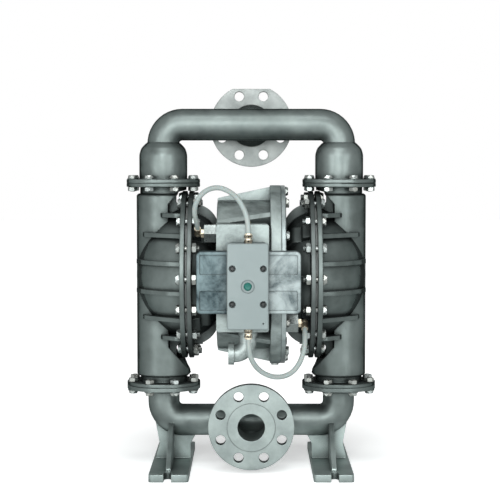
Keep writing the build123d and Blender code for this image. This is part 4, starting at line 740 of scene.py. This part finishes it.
# the last colour is painted shade on the left side of the valve body
addFinish(castAluminium, "valveAluminium", (0.040, 0.054, 0.058), (0.24, 0.28, 0.28), 15,
          (0.38, 0.62), (-0.23, 0.0, 0.19), (0.52, 0.60, 0.63))
addFinish(plainMetal, "coverDisc", (0.20, 0.235, 0.235), (0.33, 0.38, 0.375), 0.7, 0.33, specular=0.1)
addFinish(plainMetal, "valveCover", (0.172, 0.206, 0.206), (0.182, 0.216, 0.216), 0.2, 0.42, 900, 0.0008,
          0.06, 0.15)
addFinish(plainMetal, "blackScrew", (0.06, 0.065, 0.065), (0.08, 0.085, 0.085), 0.9, 0.22)
addFinish(plainMetal, "brightSteel", (0.15, 0.17, 0.165), (0.20, 0.225, 0.22), 0.9, 0.3, bumpy=0.02)
addFinish(plainMetal, "zinc", (0.27, 0.30, 0.295), (0.22, 0.23, 0.215), 0.9, 0.26, bumpy=0.04)
addFinish(plainMetal, "brass", (0.70, 0.64, 0.50), (0.48, 0.40, 0.28), 0.9, 0.3, bumpy=0.04)
addFinish(plainMetal, "bronze", (0.45, 0.29, 0.13), (0.52, 0.35, 0.17), 1.0, 0.35)
addFinish(castAluminium, "galvanised", (0.18, 0.21, 0.205), (0.34, 0.39, 0.38), 60)
addFinish(plainPolymer, "greenButton", (0.001, 0.066, 0.052), (0.002, 0.090, 0.072), 0.45)
addFinish(plainPolymer, "hosePlastic", (0.27, 0.31, 0.30), (0.24, 0.28, 0.27), 0.5, 0.0, 0.1)
addFinish(plainPolymer, "darkPlastic", (0.03, 0.03, 0.03), (0.05, 0.05, 0.05), 0.5)
addFinish(plainPolymer, "blackRubber", (0.015, 0.015, 0.015), (0.03, 0.03, 0.03), 0.7)
addFinish(plainPolymer, "whiteRubber", (0.36, 0.39, 0.38), (0.30, 0.33, 0.32), 0.6)
addFinish(plainPolymer, "whitePlastic", (0.80, 0.80, 0.77), (0.74, 0.74, 0.70), 0.3, 0.3)

slotFinish = {
    "wetted_steel": "chamberSteel", "air_chamber_steel": "airSteel", "cast_aluminium": "housingAluminium",
    "anodised_aluminium": "valveCover", "black_screws": "blackScrew", "green_plastic": "greenButton",
    "bright_steel": "brightSteel", "brass": "brass", "bronze": "bronze", "hose_plastic": "hosePlastic",
    "galvanised_iron": "galvanised", "zinc_bolts": "zinc", "dark_plastic": "darkPlastic",
    "white_rubber": "whiteRubber", "white_plastic": "whitePlastic", "black_rubber": "blackRubber",
}
nodeFinish = {
    "inlet_manifold": "inletSteel", "discharge_manifold": "dischargeSteel", "centre_cover": "coverDisc",
    "valve_body": "valveAluminium",
}


def coat(obj, finish):
    obj.data.materials.clear()
    obj.data.materials.append(finishes[finish])


for part in frame["record"]["subparts"]:
    name = part["node"]
    coat(nodes[name], nodeFinish.get(name, slotFinish[part["material_slot"]]))
for hose in hoses.values():
    coat(hose, "hosePlastic")
for piece in boltPieces:
    coat(piece, "zinc")
for piece in fittings:
    coat(piece, "brass")
coat(coverScrews, "blackScrew")
coat(overrideButton, "greenButton")
coat(buttonSpring, "brightSteel")
print("stage 4: finishes")

# floor, world and lamps
studioSet = {
    "world": (0.90, 1.0, 0.98),
    "worldStrength": 0.05,
    "floor": (0.90, 0.93, 0.93),
    "floorRadius": 14,
    "floorRoughness": 0.8,
    "floorSpecular": 0.1,
    "floorGlow": 0.5,
    "glowSpread": (0.25, 0.9),
}


def seenDirectly(tree):
    # camera, glossy and transmission rays
    path = tree.nodes.new("ShaderNodeLightPath")
    seen = mathOf(tree, "MAXIMUM", path.outputs["Is Camera Ray"], path.outputs["Is Glossy Ray"])
    return mathOf(tree, "MAXIMUM", seen, path.outputs["Is Transmission Ray"])


def makeWorld():
    world = bpy.data.worlds.new("studioWorld")
    scene.world = world
    world.use_nodes = True
    tree = world.node_tree
    tree.nodes.clear()
    output = tree.nodes.new("ShaderNodeOutputWorld")
    room = tree.nodes.new("ShaderNodeBackground")
    room.inputs["Color"].default_value = (*studioSet["world"], 1)
    room.inputs["Strength"].default_value = studioSet["worldStrength"]
    white = tree.nodes.new("ShaderNodeBackground")
    white.inputs["Color"].default_value = (1, 1, 1, 1)
    white.inputs["Strength"].default_value = 1.0
    mix = tree.nodes.new("ShaderNodeMixShader")
    tree.links.new(seenDirectly(tree), mix.inputs[0])
    tree.links.new(room.outputs[0], mix.inputs[1])
    tree.links.new(white.outputs[0], mix.inputs[2])
    tree.links.new(mix.outputs[0], output.inputs["Surface"])


def makeFloor():
    bm = bmesh.new()
    bmesh.ops.create_circle(bm, cap_ends=True, segments=64, radius=studioSet["floorRadius"])
    floor = bpy.data.objects.new("floor", meshOf(bm, "floor"))
    scene.collection.objects.link(floor)
    material, tree, shader, place = startMaterial("paleFloor")
    shader.inputs["Base Color"].default_value = (*studioSet["floor"], 1)
    shader.inputs["Roughness"].default_value = studioSet["floorRoughness"]
    shader.inputs["Specular IOR Level"].default_value = studioSet["floorSpecular"]
    glow = tree.nodes.new("ShaderNodeEmission")
    glow.inputs["Color"].default_value = (1, 1, 1, 1)
    away = tree.nodes.new("ShaderNodeVectorMath")
    away.operation = "LENGTH"
    tree.links.new(place, away.inputs[0])
    spread = rangeOf(tree, away.outputs["Value"], *studioSet["glowSpread"], studioSet["floorGlow"], 1.0)
    tree.links.new(mathOf(tree, "MULTIPLY", seenDirectly(tree), spread), glow.inputs["Strength"])
    both = tree.nodes.new("ShaderNodeAddShader")
    tree.links.new(shader.outputs[0], both.inputs[0])
    tree.links.new(glow.outputs[0], both.inputs[1])
    tree.links.new(both.outputs[0], tree.nodes["Material Output"].inputs["Surface"])
    floor.data.materials.append(material)


lampSet = [
    # name, place, aim, width, height, watts
    ("frontSoftbox", (-0.2, -3.2, 1.3), (0, 0, 0.42), 1.2, 1.6, 70),
    ("leftSoftbox", (-1.9, -2.6, 0.7), (0, 0, 0.38), 0.7, 1.3, 34),
    ("rightSoftbox", (1.7, -2.8, 0.7), (0, 0, 0.38), 0.7, 1.3, 38),
    ("topSoftbox", (0, -1.7, 2.7), (0, 0, 0.45), 1.8, 1.0, 36),
]


def makeLamps():
    for name, place, aim, width, height, watts in lampSet:
        data = bpy.data.lights.new(name, "AREA")
        data.shape = "RECTANGLE"
        data.size = width
        data.size_y = height
        data.energy = watts
        lookAlong(bpy.data.objects.new(name, data), place, aim)


makeWorld()
makeFloor()
makeLamps()
print("stage 5: floor, world and lamps")
